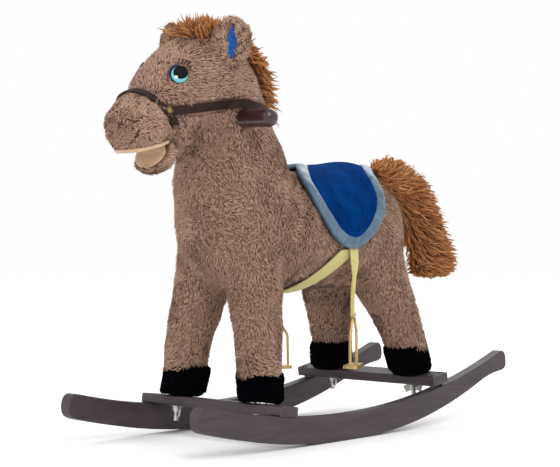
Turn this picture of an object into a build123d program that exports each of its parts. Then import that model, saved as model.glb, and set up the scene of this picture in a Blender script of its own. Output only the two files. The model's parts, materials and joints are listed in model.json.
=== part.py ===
from build123d import *
from math import cos, radians, sin
import os

# A plush rocking horse: a stuffed animal on a steel tube frame, bolted to a wooden rocker base.
# Millimetres. +Z is up, the horse looks along -Y and its left side is +X.

# Rocker base
base_half_width = 141.4
rocker_thickness = 20
rocker_depth = 40
rocker_front_tip = -370
rocker_rear_tip = 370
rest_centre = -42
rest_half_length = 15
front_tip_height = 56
rear_tip_height = 92
front_tip_radius = 19
rear_tip_radius = 16
crossbar_width = 39
crossbar_thickness = 15
front_bar_y = -184.5
front_bar_z = 47
front_bar_tilt = -6.3
rear_bar_y = 185.5
rear_bar_z = 66.5
rear_bar_tilt = 10.2
screw_radius = 2.5
screw_head_radius = 4.5
screw_length = 42
screw_spread = 12

# Plush body
plush_thickness = 3
gap = 0.3
torso_axis_height = 311
chest_centre_y = -139
chest_radius = 92
rump_centre_y = 116
rump_radius = 95
neck_base = Vector(0, -140, 345)
neck_top = Vector(0, -187, 521)
neck_base_radius = 88
neck_top_radius = 63
head_centre = Vector(0, -247, 527)
head_back_radius = 67
head_front_radius = 54
head_pitch = 28
muzzle_centre = Vector(0, -345, 470)
muzzle_radius = 46
ear_centre = Vector(62, -213, 593)
ear_radius = 32
ear_thickness = 20
ear_lean = 8
ear_turn = 15
forelock_centre = Vector(0, -215, 603)
forelock_radius = 36
mane_radius = 31
mane_path = [(-146, 588), (-104, 537), (-99, 487)]
eye_radius = 16
strap_height = 13
rein_peak = (-200, 501)
rein_front_slope = 7.1
rein_rear_slope = 8.8

# Legs: the axis of each leg runs from the middle of its foot to its hip
front_foot = Vector(84, -177, 66)
front_hip = Vector(38, -152, 300)
rear_foot = Vector(84, 184, 86)
rear_hip = Vector(42, 134, 290)
foot_radius = 35
hip_radius = 46
hoof_height = 40
stud_radius = 4
stud_x = 85
stud_length = 40
leg_tube_radius = 9

# Steel frame
spine_radius = 12.5
hip_tube_radius = 11
handle_y = -200
handle_z = 478.5
handle_radius = 13.5
handle_half_length = 129
grip_root = 67
grip_shoulder = 79
handle_rod_radius = 7

# Mouth
mouth_hinge_y = -312
mouth_hinge_z = 450
palate_angle = 16
jaw_top_angle = 60
jaw_middle_angle = 74
lever_angle = 84
jaw_reach = 27
jaw_half_width = 34
jaw_radius = 29
felt_thickness = 1.5
jaw_shaft_radius = 3
running_clearance = 0.05

# Tail
tail_axis_angle = 48
tail_shaft_radius = 4
tail_path = [(196, 400, 15), (236, 401, 25), (284, 374, 32), (322, 317, 34), (350, 262, 31), (352, 232, 16)]

# Saddle blanket and stirrups
blanket_thickness = 7
binding_width = 17
flap_centre_y = 20
flap_half_width = 86
hem_height = 285.5
left_strap = {"x": 94.8, "y": 21, "top": 273, "length": 95}
right_strap = {"x": -95.5, "y": 55, "top": 280, "length": 118}
strap_width = 20
strap_thickness = 2.5
iron_wire_radius = 2.2
iron_height = 74
iron_half_width = 22
iron_twist = 26

parts = {}


def axis_plane(start, end):
    """A plane at start whose normal points at end."""
    return Plane(origin=start, z_dir=(end - start))


def tilted(y, z, angle):
    """A place on the middle plane, turned by angle about X."""
    return Pos(0, y, z) * Rot(angle, 0, 0)


def block(x0, x1, y0, y1, z0, z1):
    """A box between two corners."""
    size = Box(x1 - x0, y1 - y0, z1 - z0)
    return Pos((x0 + x1) / 2, (y0 + y1) / 2, (z0 + z1) / 2) * size


def rod_x(radius, x0, x1, y, z):
    """A round bar along X."""
    return Pos((x0 + x1) / 2, y, z) * Rot(0, 90, 0) * Cylinder(radius, x1 - x0)


def rod_between(start, end, radius, end_radius=None):
    """A round bar or cone between two points."""
    length = (end - start).length
    middle = axis_plane(start, end).offset(length / 2)
    if end_radius is None:
        return middle.location * Cylinder(radius, length)
    return middle.location * Cone(radius, end_radius, length)


def mirrored(shape):
    """The same shape on the other side of the horse."""
    return mirror(shape, about=Plane.YZ)


def largest(shape):
    """The biggest solid of a shape, without the crumbs a cut leaves."""
    return max(shape.solids(), key=lambda solid: solid.volume)


def minus(shape, tools):
    """Takes several tools away from a shape, one after the other."""
    for tool in tools:
        shape = shape - tool
    return largest(shape)


def group(shapes):
    """Several separate solids as one node."""
    return Compound(children=[solid for shape in shapes for solid in shape.solids()])


# ---------------------------------------------------------------- plush forms


def torso(grow):
    """A capsule along Y with a slightly larger rump than chest."""
    chest = chest_radius + grow
    rump = rump_radius + grow
    bend = sin(radians(45))
    edge = ThreePointArc(
        (0, chest_centre_y - chest),
        (chest * bend, chest_centre_y - chest * bend),
        (chest, chest_centre_y),
    )
    edge += Line((chest, chest_centre_y), (rump, rump_centre_y))
    edge += ThreePointArc(
        (rump, rump_centre_y),
        (rump * bend, rump_centre_y + rump * bend),
        (0, rump_centre_y + rump),
    )
    edge += Line((0, rump_centre_y + rump), (0, chest_centre_y - chest))
    return Pos(0, 0, torso_axis_height) * revolve(make_face(edge), Axis.Y)


def cut_by_torso(shape, grow):
    """Cuts a shape by the balls and the barrel of the torso, one after the other."""
    shape -= Pos(0, chest_centre_y, torso_axis_height) * Sphere(chest_radius + grow)
    shape -= Pos(0, rump_centre_y, torso_axis_height) * Sphere(rump_radius + grow)
    barrel_start = Vector(0, chest_centre_y, torso_axis_height)
    barrel_end = Vector(0, rump_centre_y, torso_axis_height)
    return shape - rod_between(barrel_start, barrel_end, chest_radius + grow, rump_radius + grow)


def neck(grow):
    """A cone that leans forward from the chest into the head."""
    return rod_between(neck_base, neck_top, neck_base_radius + grow, neck_top_radius + grow)


def egg(back_radius, back, front_radius, front):
    """Two balls along Y joined by the cone that touches both, turned about Y."""
    lean = (back_radius - front_radius) / (back - front)
    side = (1 - lean**2) ** 0.5
    back_touch = (back_radius * side, back - back_radius * lean)
    front_touch = (front_radius * side, front - front_radius * lean)
    turn = radians(45)
    edge = ThreePointArc(
        (0, front - front_radius),
        (front_radius * sin(turn), front - front_radius * cos(turn)),
        front_touch,
    )
    edge += Line(front_touch, back_touch)
    edge += ThreePointArc(
        back_touch,
        (back_radius * sin(turn), back + back_radius * cos(turn)),
        (0, back + back_radius),
    )
    edge += Line((0, back + back_radius), (0, front - front_radius))
    return revolve(make_face(edge), Axis.Y)


def head(grow):
    """An egg that points forward and down, blunt end at the poll."""
    form = egg(head_back_radius + grow, 20, head_front_radius + grow, -56)
    return Pos(*head_centre) * Rot(head_pitch, 0, 0) * form


def muzzle_form(grow):
    """The round soft nose."""
    return Pos(*muzzle_centre) * Sphere(muzzle_radius + grow)


def below_line(angle, drop):
    """The space below a plane that falls forward from the mouth hinge."""
    space = Pos(0, -100, -100 - drop) * Box(200, 200, 200)
    return tilted(mouth_hinge_y, mouth_hinge_z, angle) * space


def leg_axis(is_front, side):
    """Middle of the foot and the hip of one leg; side is 1 on the left and -1 on the right."""
    foot = front_foot if is_front else rear_foot
    hip = front_hip if is_front else rear_hip
    flip = Vector(side, 1, 1)
    return Vector(foot.X * flip.X, foot.Y, foot.Z), Vector(hip.X * flip.X, hip.Y, hip.Z)


def bar_space(y, z, tilt):
    """Everything above the underside of a crossbar, one bar wide."""
    space = Pos(0, 0, 50) * Box(400, crossbar_width, 100)
    return tilted(y, z, tilt) * space


bars = {True: (front_bar_y, front_bar_z, front_bar_tilt), False: (rear_bar_y, rear_bar_z, rear_bar_tilt)}


# ---------------------------------------------------------------- rocker base


def rocker_outline():
    """Side view of a rocker: a short flat to rest on, long arcs, and rounded tips."""
    rest_front = rest_centre - rest_half_length
    rest_rear = rest_centre + rest_half_length
    front_turn = (rocker_front_tip + 95, 21)
    rear_turn = (rocker_rear_tip - 75, 62)
    front_low = (rocker_front_tip + front_tip_radius, front_tip_height - front_tip_radius)
    front_high = (rocker_front_tip + front_tip_radius, front_tip_height + front_tip_radius)
    rear_low = (rocker_rear_tip - rear_tip_radius, rear_tip_height - rear_tip_radius)
    rear_high = (rocker_rear_tip - rear_tip_radius, rear_tip_height + rear_tip_radius)
    top_middle = (rest_centre, rocker_depth)
    bottom_rear = TangentArc((rest_rear, 0), rear_turn, tangent=(1, 0))
    toe_rear = TangentArc(rear_turn, rear_low, tangent=bottom_rear % 1)
    top_rear = TangentArc(top_middle, rear_high, tangent=(1, 0))
    bottom_front = TangentArc((rest_front, 0), front_turn, tangent=(-1, 0))
    toe_front = TangentArc(front_turn, front_low, tangent=bottom_front % 1)
    top_front = TangentArc(top_middle, front_high, tangent=(-1, 0))
    rear_tip = (rocker_rear_tip, rear_tip_height)
    front_tip = (rocker_front_tip, front_tip_height)
    edge = Line((rest_front, 0), (rest_rear, 0)) + bottom_rear + toe_rear + top_rear + top_front
    edge += bottom_front + toe_front
    edge += Spline(rear_low, rear_tip, rear_high, tangents=[toe_rear % 1, -(top_rear % 1)])
    edge += Spline(front_low, front_tip, front_high, tangents=[toe_front % 1, -(top_front % 1)])
    return make_face(edge)


def rocker():
    """The left rocker board with flat seats for the crossbars and eased edges."""
    face = Plane.YZ.offset(base_half_width - rocker_thickness) * rocker_outline()
    board = extrude(face, rocker_thickness)
    board = fillet(board.edges().filter_by(Plane.YZ), 2.5)
    for y, z, tilt in bars.values():
        board -= bar_space(y, z, tilt)
    return board


def screw_places(is_front):
    """Places of the four screws that hold one crossbar to both rockers."""
    y, z, tilt = bars[is_front]
    x = base_half_width - rocker_thickness / 2
    for side in (1, -1):
        for step in (1, -1):
            yield tilted(y, z, tilt) * Pos(side * x, step * screw_spread, 0)


def stud_places(is_front):
    """Places of the two studs under the hooves on one crossbar."""
    y, z, tilt = bars[is_front]
    for side in (1, -1):
        yield tilted(y, z, tilt) * Pos(side * stud_x, 0, 0)


cap_base = crossbar_thickness - 8
rocker_left = rocker()
for is_front in (True, False):
    for place in screw_places(is_front):
        rocker_left -= place * Cylinder(screw_radius + running_clearance, 2 * (screw_length - cap_base) + 1)
parts["rocker_left"] = rocker_left
parts["rocker_right"] = mirrored(rocker_left)

screws = []
for is_front, name in ((True, "crossbar_front"), (False, "crossbar_rear")):
    y, z, tilt = bars[is_front]
    bar = Pos(0, 0, crossbar_thickness / 2) * Box(2 * base_half_width, crossbar_width, crossbar_thickness)
    bar = fillet(bar.edges().filter_by(Axis.X), 3)
    bar = tilted(y, z, tilt) * bar
    for place in screw_places(is_front):
        bar -= place * Cylinder(screw_radius + running_clearance, 80)
        bar -= place * Pos(0, 0, cap_base + 20) * Cylinder(screw_head_radius + 0.3, 40)
        shank = Pos(0, 0, cap_base - screw_length / 2) * Cylinder(screw_radius, screw_length)
        cap = Pos(0, 0, cap_base + 2.5) * Cylinder(screw_head_radius, 5)
        socket = Pos(0, 0, cap_base + 2) * extrude(RegularPolygon(2.4, 6), 4)
        screws.append(place * (shank + cap - socket))
    for place in stud_places(is_front):
        bar -= place * Cylinder(stud_radius + 0.3, 80)
    parts[name] = bar
parts["rocker_screws"] = group(screws)

# ---------------------------------------------------------------- steel frame

spine_front = chest_centre_y - 20
spine_rear = rump_centre_y + 30
spine = Pos(0, (spine_front + spine_rear) / 2, torso_axis_height) * Rot(90, 0, 0)
parts["spine_tube"] = spine * (
    Cylinder(spine_radius, spine_rear - spine_front) - Cylinder(spine_radius - 1.5, 400)
)
spine_solid = spine * Cylinder(spine_radius, spine_rear - spine_front)

hip_tubes = []
hip_solids = []
tube_z = torso_axis_height - spine_radius - hip_tube_radius - 0.1
for hip in (front_hip, rear_hip):
    solid = rod_x(hip_tube_radius, -62, 62, hip.Y, tube_z)
    hip_solids.append(solid)
    hip_tubes.append(solid - rod_x(hip_tube_radius - 1.5, -70, 70, hip.Y, tube_z))
parts["hip_tubes"] = group(hip_tubes)

neck_tube_foot = Vector(0, -150, torso_axis_height + spine_radius + 0.5)
neck_tube_top = Vector(0, handle_y + 6, 530)
neck_tube_solid = rod_between(neck_tube_foot, neck_tube_top, 11)
neck_tube = neck_tube_solid - rod_between(neck_tube_foot, neck_tube_top, 9.5)
neck_tube -= spine_solid
parts["neck_tube"] = neck_tube - rod_x(handle_rod_radius + running_clearance, -40, 40, handle_y, handle_z)

handle_rod = rod_x(handle_rod_radius, -112, 112, handle_y, handle_z)
parts["handle_rod"] = handle_rod
grip = rod_x(handle_radius, grip_root, handle_half_length, handle_y, handle_z)
tip_edges = grip.edges().filter_by(GeomType.CIRCLE).sort_by(Axis.X)[-1:]
grip = fillet(tip_edges, handle_radius - 2)
grip += rod_x(handle_radius + 0.4, grip_root, grip_shoulder, handle_y, handle_z)
grip -= rod_x(handle_rod_radius + running_clearance, 0, 112.5, handle_y, handle_z)
parts["handle_left"] = grip
parts["handle_right"] = mirrored(grip)
handle_space = rod_x(handle_radius + gap, -140, 140, handle_y, handle_z)

# ---------------------------------------------------------------- legs, hooves and their fixings

leg_tubes = []
leg_spaces = []
studs = []
washers = []
nuts = []
for is_front, end in ((True, "front"), (False, "rear")):
    foot, hip = leg_axis(is_front, -1)
    y, z, tilt = bars[is_front]
    along = (hip - foot).normalized()
    slope = (hip_radius - foot_radius) / (hip - foot).length
    hoof_top = foot + along * hoof_height
    hoof_radius = foot_radius + hoof_height * slope
    bar_block = Pos(0, 0, crossbar_thickness - 100 + gap) * Box(600, 300, 200)

    tube_start = foot + along * 10
    tube_end = foot + along * ((tube_z - 5 - foot.Z) / along.Z)
    tube_solid = rod_between(tube_start, tube_end, leg_tube_radius)
    tube = tube_solid - rod_between(tube_start, tube_end, leg_tube_radius - 1.5)
    for hip_solid in hip_solids:
        tube -= hip_solid
    leg_space = rod_between(tube_start - along, hip, leg_tube_radius + gap)

    place = tilted(y, z, tilt) * Pos(-stud_x, 0, 0)
    plate = place * Pos(0, 0, crossbar_thickness + 3) * Cylinder(24, 4)
    stud = place * Pos(0, 0, crossbar_thickness + 2 - stud_length / 2) * Cylinder(stud_radius, stud_length)
    foot_space = place * Pos(0, 0, crossbar_thickness + 3) * Cylinder(24 + gap, 4 + 2 * gap)
    foot_space += place * Cylinder(stud_radius + gap, 60)
    washer = place * Pos(0, 0, -0.9) * (Cylinder(11, 1.6) - Cylinder(stud_radius + 0.2, 4))
    nut = Pos(0, 0, -5.5) * Cylinder(7, 7)
    for wing in (1, -1):
        nut += Pos(wing * 10, 0, -10) * Rot(0, wing * 20, 0) * Box(9, 2.5, 11)
    nut -= Cylinder(stud_radius + running_clearance, 60)
    nut = place * Rot(0, 0, -25) * nut

    hoof = rod_between(foot - along * 30, hoof_top, foot_radius - 30 * slope, hoof_radius)
    hoof -= tilted(y, z, tilt) * bar_block
    hoof = hoof - foot_space - leg_space
    leg = rod_between(hoof_top + along * gap, hip, hoof_radius, hip_radius)
    leg = largest(cut_by_torso(leg, gap) - leg_space)
    parts[f"hoof_{end}_right"] = hoof
    parts[f"hoof_{end}_left"] = mirrored(hoof)
    parts[f"leg_{end}_right"] = leg
    parts[f"leg_{end}_left"] = mirrored(leg)
    for shapes, shape in (
        (leg_tubes, tube),
        (leg_spaces, leg_space),
        (studs, stud + plate - tube_solid),
        (washers, washer),
        (nuts, nut),
    ):
        shapes.append(shape)
        shapes.append(mirrored(shape))
parts["leg_tubes"] = group(leg_tubes)
parts["leg_studs"] = group(studs)
parts["leg_washers"] = group(washers)
parts["leg_wing_nuts"] = group(nuts)

# ---------------------------------------------------------------- mouth drive

mouth = Pos(0, mouth_hinge_y, mouth_hinge_z)
mouth_unit = block(-13, 13, mouth_hinge_y - 7, mouth_hinge_y + 30, mouth_hinge_z - 7, mouth_hinge_z + 24)
mouth_unit = fillet(mouth_unit.edges().filter_by(Axis.X), 5)
motor_can = rod_x(9, 13, 34, mouth_hinge_y + 18, mouth_hinge_z + 12)
shaft_hole = rod_x(jaw_shaft_radius + running_clearance, -60, 60, mouth_hinge_y, mouth_hinge_z)
parts["mouth_gearmotor"] = mouth_unit + motor_can - shaft_hole
mouth_space = block(-22, 22, mouth_hinge_y - 12, mouth_hinge_y + 31, mouth_hinge_z - 14, mouth_hinge_z + 25)
motor_space = rod_x(9.5, 12, 35, mouth_hinge_y + 18, mouth_hinge_z + 12)

jaw_turn = mouth * Rot(jaw_middle_angle, 0, 0)
lever_turn = mouth * Rot(lever_angle, 0, 0)
lever = rod_x(jaw_shaft_radius, -20, 20, mouth_hinge_y, mouth_hinge_z)
for side in (1, -1):
    arm = Pos(side * 16.5, -22, 0) * Box(3, 46, 7)
    lever += lever_turn * arm
lever += lever_turn * Pos(0, -44, 0) * Box(36, 6, 7)
parts["jaw_lever"] = lever
lever_space = lever_turn * Pos(0, -22.5, 0) * Box(37, 50, 7.6)
lever_space += rod_x(14.5, -23, 23, mouth_hinge_y, mouth_hinge_z)

chin = jaw_turn * Pos(0, -jaw_reach, 0) * scale(Sphere(1), (jaw_half_width, jaw_radius, jaw_radius))
mouth_top = mouth * Rot(jaw_top_angle, 0, 0)
chin -= mouth_top * Pos(0, 0, 50 - 2 - felt_thickness) * Box(200, 200, 100)
parts["jaw"] = minus(chin, [head(2), mouth_space, lever_space])
felt = mouth_top * Pos(0, -29, -2 - felt_thickness / 2) * Cylinder(24, felt_thickness - 0.1)
parts["jaw_lining"] = minus(felt, [head(2), mouth_space, lever_space])

# ---------------------------------------------------------------- tail drive

rump_centre = Vector(0, rump_centre_y, torso_axis_height)
tail_direction = Vector(0, sin(radians(tail_axis_angle)), cos(radians(tail_axis_angle)))
shaft_start = rump_centre + tail_direction * 45
shaft_end = rump_centre + tail_direction * 124
parts["tail_shaft"] = rod_between(shaft_start, shaft_end, tail_shaft_radius)
tail_place = axis_plane(rump_centre + tail_direction * 60, shaft_end).location
tail_unit = tail_place * Box(30, 44, 26)
tail_unit -= rod_between(rump_centre + tail_direction * 40, shaft_end, tail_shaft_radius + running_clearance)
parts["tail_gearmotor"] = tail_unit
tail_unit_space = tail_place * Box(30.6, 44.6, 26.6)
tail_unit_space += rod_between(shaft_start - tail_direction, shaft_end, tail_shaft_radius + 1)

tail_sections = []
for index, (y, z, radius) in enumerate(tail_path):
    before = Vector(0, *tail_path[max(index - 1, 0)][:2])
    after = Vector(0, *tail_path[min(index + 1, len(tail_path) - 1)][:2])
    tail_sections.append(Plane(origin=(0, y, z), z_dir=after - before) * Circle(radius))
tail_hair = loft(tail_sections)
tail_root = Vector(0, *tail_path[0][:2])
parts["tail_hair"] = tail_hair + Pos(*tail_root) * Sphere(tail_path[0][2]) - rod_between(
    shaft_start, shaft_end, tail_shaft_radius
)

# ---------------------------------------------------------------- electrics

box_y = 20
box_z = torso_axis_height - rump_radius + 21
parts["battery_box"] = block(-32, 32, box_y - 36, box_y + 36, box_z - 12, box_z + 12) - block(
    -30, 30, box_y - 34, box_y + 34, box_z - 13, box_z + 10
)
parts["battery_door"] = block(-29.7, 29.7, box_y - 33.7, box_y + 33.7, box_z - 12, box_z - 10)
cells = []
for step in (-1, 0, 1):
    cells.append(Pos(step * 17, box_y, box_z) * Rot(90, 0, 0) * Cylinder(7.2, 50))
parts["batteries"] = group(cells)
battery_space = block(-32.3, 32.3, box_y - 36.3, box_y + 36.3, 0, box_z + 12.3)
speaker_place = Pos(0, chest_centre_y - 55, torso_axis_height - 10) * Rot(90, 0, 0)
parts["speaker"] = speaker_place * (Cone(14, 25, 16) + Pos(0, 0, -12) * Cylinder(11, 8))
speaker_space = speaker_place * Cylinder(25.5, 40)

# ---------------------------------------------------------------- plush covers and fillings

inside = -plush_thickness
spine_space = spine * Cylinder(spine_radius + gap, spine_rear - spine_front + 2 * gap)
neck_tube_up = (neck_tube_top - neck_tube_foot).normalized()
neck_tube_space = rod_between(neck_tube_foot - neck_tube_up, neck_tube_top + neck_tube_up, 11 + gap)
tail_hole = rod_between(rump_centre, shaft_end, tail_shaft_radius + 1.5)
hip_spaces = [rod_x(hip_tube_radius + gap, -63, 63, hip.Y, tube_z) for hip in (front_hip, rear_hip)]
body_tools = [head(gap), handle_space, battery_space, tail_hole] + leg_spaces
body_cover = torso(0) + neck(0) - torso(inside) - neck(inside)
parts["body_cover"] = minus(body_cover, body_tools)
hidden_tools = [speaker_space, tail_unit_space, spine_space, neck_tube_space] + hip_spaces
body_filling = torso(inside - gap) + neck(inside - gap)
parts["body_filling"] = minus(body_filling, body_tools + hidden_tools)

palate_space = below_line(palate_angle, 0)
knuckle_space = rod_x(16, -60, 60, mouth_hinge_y, mouth_hinge_z)
mouth_tools = [palate_space, knuckle_space, mouth_space, motor_space]
parts["muzzle"] = minus(muzzle_form(0), [head(gap)] + mouth_tools)
parts["head_cover"] = minus(head(0) - head(inside), mouth_tools + [handle_space, neck_tube_space])
parts["head_filling"] = minus(head(inside - gap), mouth_tools + [handle_space, neck_tube_space])
palate_place = mouth * Rot(palate_angle, 0, 0) * Pos(0, -42, -felt_thickness / 2 - 0.1)
palate = palate_place * Cylinder(27, felt_thickness)
parts["mouth_lining"] = minus(palate, [lever_space, mouth_space, knuckle_space])

# ---------------------------------------------------------------- ears, mane and face

ear_place = Pos(*ear_centre) * Rot(90 - ear_lean, 0, 0) * Rot(0, -ear_turn, 0)
ear = Cylinder(ear_radius, ear_thickness)
ear = fillet(ear.edges().filter_by(GeomType.CIRCLE), ear_thickness / 2 - 0.5)
scoop = Pos(0, 0, 42) * Sphere(38)
switch = Pos(0, 0, -3) * Cylinder(8, 6) - Pos(0, 0, -1) * Cylinder(5.1, 4)
button = Pos(0, 0, 0.1) * Cylinder(5, 3)
switch_space = Pos(0, 0, -2.2) * Cylinder(8.4, 8.4)
ear_solid = ear_place * (ear - scoop - switch_space)
lining = Pos(0, 0, 42) * (Sphere(37.7) - Sphere(36.2)) & Pos(0, 0, 5) * Cylinder(17, 12)
forelock = Pos(*forelock_centre) * Sphere(forelock_radius)
forelock_space = Pos(*forelock_centre) * Sphere(forelock_radius + gap)
lining = minus(ear_place * lining, [head(gap), forelock_space])
parts["ear_left"] = minus(ear_solid, [head(gap), forelock_space])
parts["ear_right"] = mirrored(minus(ear_place * (ear - scoop), [head(gap), forelock_space]))
parts["ear_linings"] = group([lining, mirrored(lining)])
parts["ear_switch"] = ear_place * switch
parts["ear_button"] = ear_place * button

parts["forelock"] = minus(forelock, [head(gap)])
mane = Pos(0, *mane_path[0]) * Sphere(mane_radius)
for start, end in zip(mane_path, mane_path[1:]):
    mane += rod_between(Vector(0, *start), Vector(0, *end), mane_radius)
    mane += Pos(0, *end) * Sphere(mane_radius)
parts["mane"] = minus(mane, [head(4.5), neck(4.5), forelock])

eye_axis = Vector(0.75, -0.31, 0.585)
eye_centre = Vector(48, -312, 541)
eye_core = rod_between(eye_centre - eye_axis * 30, eye_centre + eye_axis * 20, eye_radius)
eye = largest((head(1.8) - head(gap)) & eye_core)
parts["eyes"] = group([eye, mirrored(eye)])

# ---------------------------------------------------------------- bridle

noseband_slab = tilted(-345, 497, -49.4) * Box(200, 160, strap_height)
noseband = (head(3.2) + muzzle_form(3.2)) & noseband_slab
rivet_axis = Vector(0.903, 0.286, 0.322)
rivet = rod_between(muzzle_centre + rivet_axis * 48, muzzle_centre + rivet_axis * 54, 4.6)
rivet = minus(rivet, [head(2 * gap), muzzle_form(2 * gap)])
rivets = [rivet, mirrored(rivet)]
parts["bridle_rivets"] = group(rivets)
parts["noseband"] = minus(noseband, [head(gap), muzzle_form(gap)] + mouth_tools + rivets)
front_slab = tilted(*rein_peak, rein_front_slope) * Pos(0, -80, 0) * Box(300, 160, strap_height)
rear_slab = tilted(*rein_peak, -rein_rear_slope) * Pos(0, 80, 0) * Box(300, 160, strap_height)
rein = (head(3.2) + neck(3.2)) & (front_slab + rear_slab)
rein = minus(rein, [head(gap), neck(gap), muzzle_form(3.5), noseband_slab, handle_space] + rivets)
parts["rein"] = rein

# ---------------------------------------------------------------- saddle blanket and girth


def blanket_outline():
    """Side view of the blanket: a seat on the back and a rounded flap that hangs down the side."""
    flap_top = torso_axis_height + 62
    front = (flap_centre_y - flap_half_width, flap_top)
    rear = (flap_centre_y + flap_half_width, flap_top)
    edge = Line((12, 460), (-2, 424)) + ThreePointArc((-2, 424), (-48, 402), front)
    edge += ThreePointArc(front, (flap_centre_y, hem_height), rear)
    edge += ThreePointArc(rear, (122, 402), (176, 424)) + Line((176, 424), (166, 460))
    edge += Line((166, 460), (12, 460))
    return make_face(edge)


def blanket_band(face, inner, outer):
    """The part of a layer on the torso that lies inside an outline."""
    column = extrude(Plane.YZ.offset(-150) * face, 300)
    return (torso(outer) - torso(inner)) & column


outline = blanket_outline()
inset = offset(outline, -binding_width)
parts["saddle_blanket"] = largest(blanket_band(inset, gap, blanket_thickness))
binding = blanket_band(outline - inset, gap, blanket_thickness + 1)
parts["saddle_binding"] = group([binding - parts["saddle_blanket"]])
girth = (torso(2.8) - torso(gap)) & (tilted(14, hem_height - 2, 43.6) * Box(300, 300, 25))
girth &= Pos(0, 0, hem_height - 102) * Box(400, 400, 200)
parts["girth_strap"] = minus(girth, [battery_space])

# ---------------------------------------------------------------- stirrups


def stirrup(side, strap):
    """A hanging webbing strap with a wire iron in its loop and a tread plate on the iron."""
    x, y, top = strap["x"], strap["y"], strap["top"]
    eye_z = top - strap["length"]
    turn = Rot(0, 0, 90 + side * iron_twist)
    thick = strap_thickness / 2
    wide = strap_width / 2
    web = block(x - thick, x + thick, y - wide, y + wide, eye_z + 14, top)
    web += rod_x(wide, x - thick, x + thick, y, top)
    neck_down = Pos(x, y, eye_z + 9) * Box(strap_thickness, 7, 12)
    eye = Pos(x, y, eye_z) * turn
    loop = eye * rod_x(iron_wire_radius + 2.3, -3.2, 3.2, 0, 0)
    hole = eye * rod_x(iron_wire_radius + gap, -10, 10, 0, 0)
    strap_solid = web + neck_down + loop - hole
    half = iron_half_width
    shoulder = iron_height - 22
    path = FilletPolyline(
        (-half, 0, 3.4), (-half + 1, 0, shoulder), (-7, 0, iron_height), (7, 0, iron_height),
        (half - 1, 0, shoulder), (half, 0, 3.4),
        radius=8,
    )
    wire = sweep(Plane(origin=path @ 0, z_dir=path % 0) * Circle(iron_wire_radius), path=path)
    place = Pos(x, y, eye_z - iron_height) * turn
    tread = Box(2 * half + 8, 22, 5)
    tread = fillet(tread.edges().filter_by(Axis.Z), 5)
    return strap_solid, place * wire, place * tread


for side, name, strap in ((1, "left", left_strap), (-1, "right", right_strap)):
    web, wire, tread = stirrup(side, strap)
    parts[f"stirrup_strap_{name}"] = web
    parts[f"stirrup_iron_{name}"] = wire
    parts[f"stirrup_tread_{name}"] = tread


def export_all():
    """Writes every node, with the origin under the middle of the whole horse."""
    os.makedirs("parts", exist_ok=True)
    whole = Compound(children=[solid for shape in parts.values() for solid in shape.solids()])
    box = whole.bounding_box()
    shift = -(box.min.Y + box.max.Y) / 2
    for name, shape in parts.items():
        solids = [Pos(0, shift, 0) * solid for solid in shape.solids()]
        node = solids[0] if len(solids) == 1 else Compound(children=solids)
        export_step(node, f"parts/{name}.step")


export_all()
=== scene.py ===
# %% [markdown]
# # A plush rocking horse
# The steel, wood and brass of this toy come finished from the CAD frame. What the frame cannot hold
# is softness: a sewn plush skin with its pile, long synthetic hair, a velour blanket, leather and felt.
# This lesson builds those around the frame, one piece at a time.

import json
import math

import bpy
import numpy as np
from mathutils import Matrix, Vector

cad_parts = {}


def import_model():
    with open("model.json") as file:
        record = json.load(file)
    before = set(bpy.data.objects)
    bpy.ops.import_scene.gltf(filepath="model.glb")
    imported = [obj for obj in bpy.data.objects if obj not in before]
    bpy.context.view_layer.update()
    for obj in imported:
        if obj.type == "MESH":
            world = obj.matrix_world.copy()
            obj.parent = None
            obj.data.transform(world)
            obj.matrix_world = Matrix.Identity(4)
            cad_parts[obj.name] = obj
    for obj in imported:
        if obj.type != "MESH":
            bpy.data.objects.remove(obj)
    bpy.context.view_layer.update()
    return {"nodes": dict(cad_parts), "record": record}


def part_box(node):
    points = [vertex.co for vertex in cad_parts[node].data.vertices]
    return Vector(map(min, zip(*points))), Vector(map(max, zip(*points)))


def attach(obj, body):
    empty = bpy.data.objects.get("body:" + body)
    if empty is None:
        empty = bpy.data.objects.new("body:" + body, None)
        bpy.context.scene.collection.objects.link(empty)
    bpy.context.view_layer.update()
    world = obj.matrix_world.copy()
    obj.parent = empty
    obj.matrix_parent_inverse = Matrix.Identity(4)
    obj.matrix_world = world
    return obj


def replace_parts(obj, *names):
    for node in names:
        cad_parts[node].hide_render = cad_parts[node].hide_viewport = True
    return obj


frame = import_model()

# %% [markdown]
# The horse is drawn in millimetres, with zero half way along the rockers and on the floor, the way a
# toy maker dimensions it. `world` turns those drawing points into metres in the frame.

# %% From the drawing to the frame
rocker_low, rocker_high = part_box("rocker_left")
middle_y = (rocker_low[1] + rocker_high[1]) / 2


def world(points):
    """Millimetres on the drawing to metres in the frame: divide by 1000, then move along Y."""
    return np.asarray(points, float) / 1000 + np.array([0, middle_y, 0])


print("rocker middle lies at y =", round(middle_y, 4))

# %% [markdown]
# Every new piece is a surface worked out as whole arrays. These helpers put arrays into a mesh, turn the
# faces outward by the sign of the enclosed volume, and close a row of rings with a point at each end.

# %% Arrays into meshes
def ring_faces(rows, around, wrap=True):
    """Quads between row i and i+1 and between column j and j+1 (the last column meets the first)."""
    row = np.arange(rows - 1)[:, None] * around
    column = np.arange(around if wrap else around - 1)[None, :]
    beside = (column + 1) % around
    quads = np.stack([row + column, row + beside, row + beside + around, row + column + around], -1)
    return quads.reshape(-1, 4)


def pole_faces(ring_start, pole, around):
    """Triangles from each edge of a ring to one pole."""
    column = np.arange(around)
    return np.stack([ring_start + column, ring_start + (column + 1) % around, np.full(around, pole)], -1)


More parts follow.
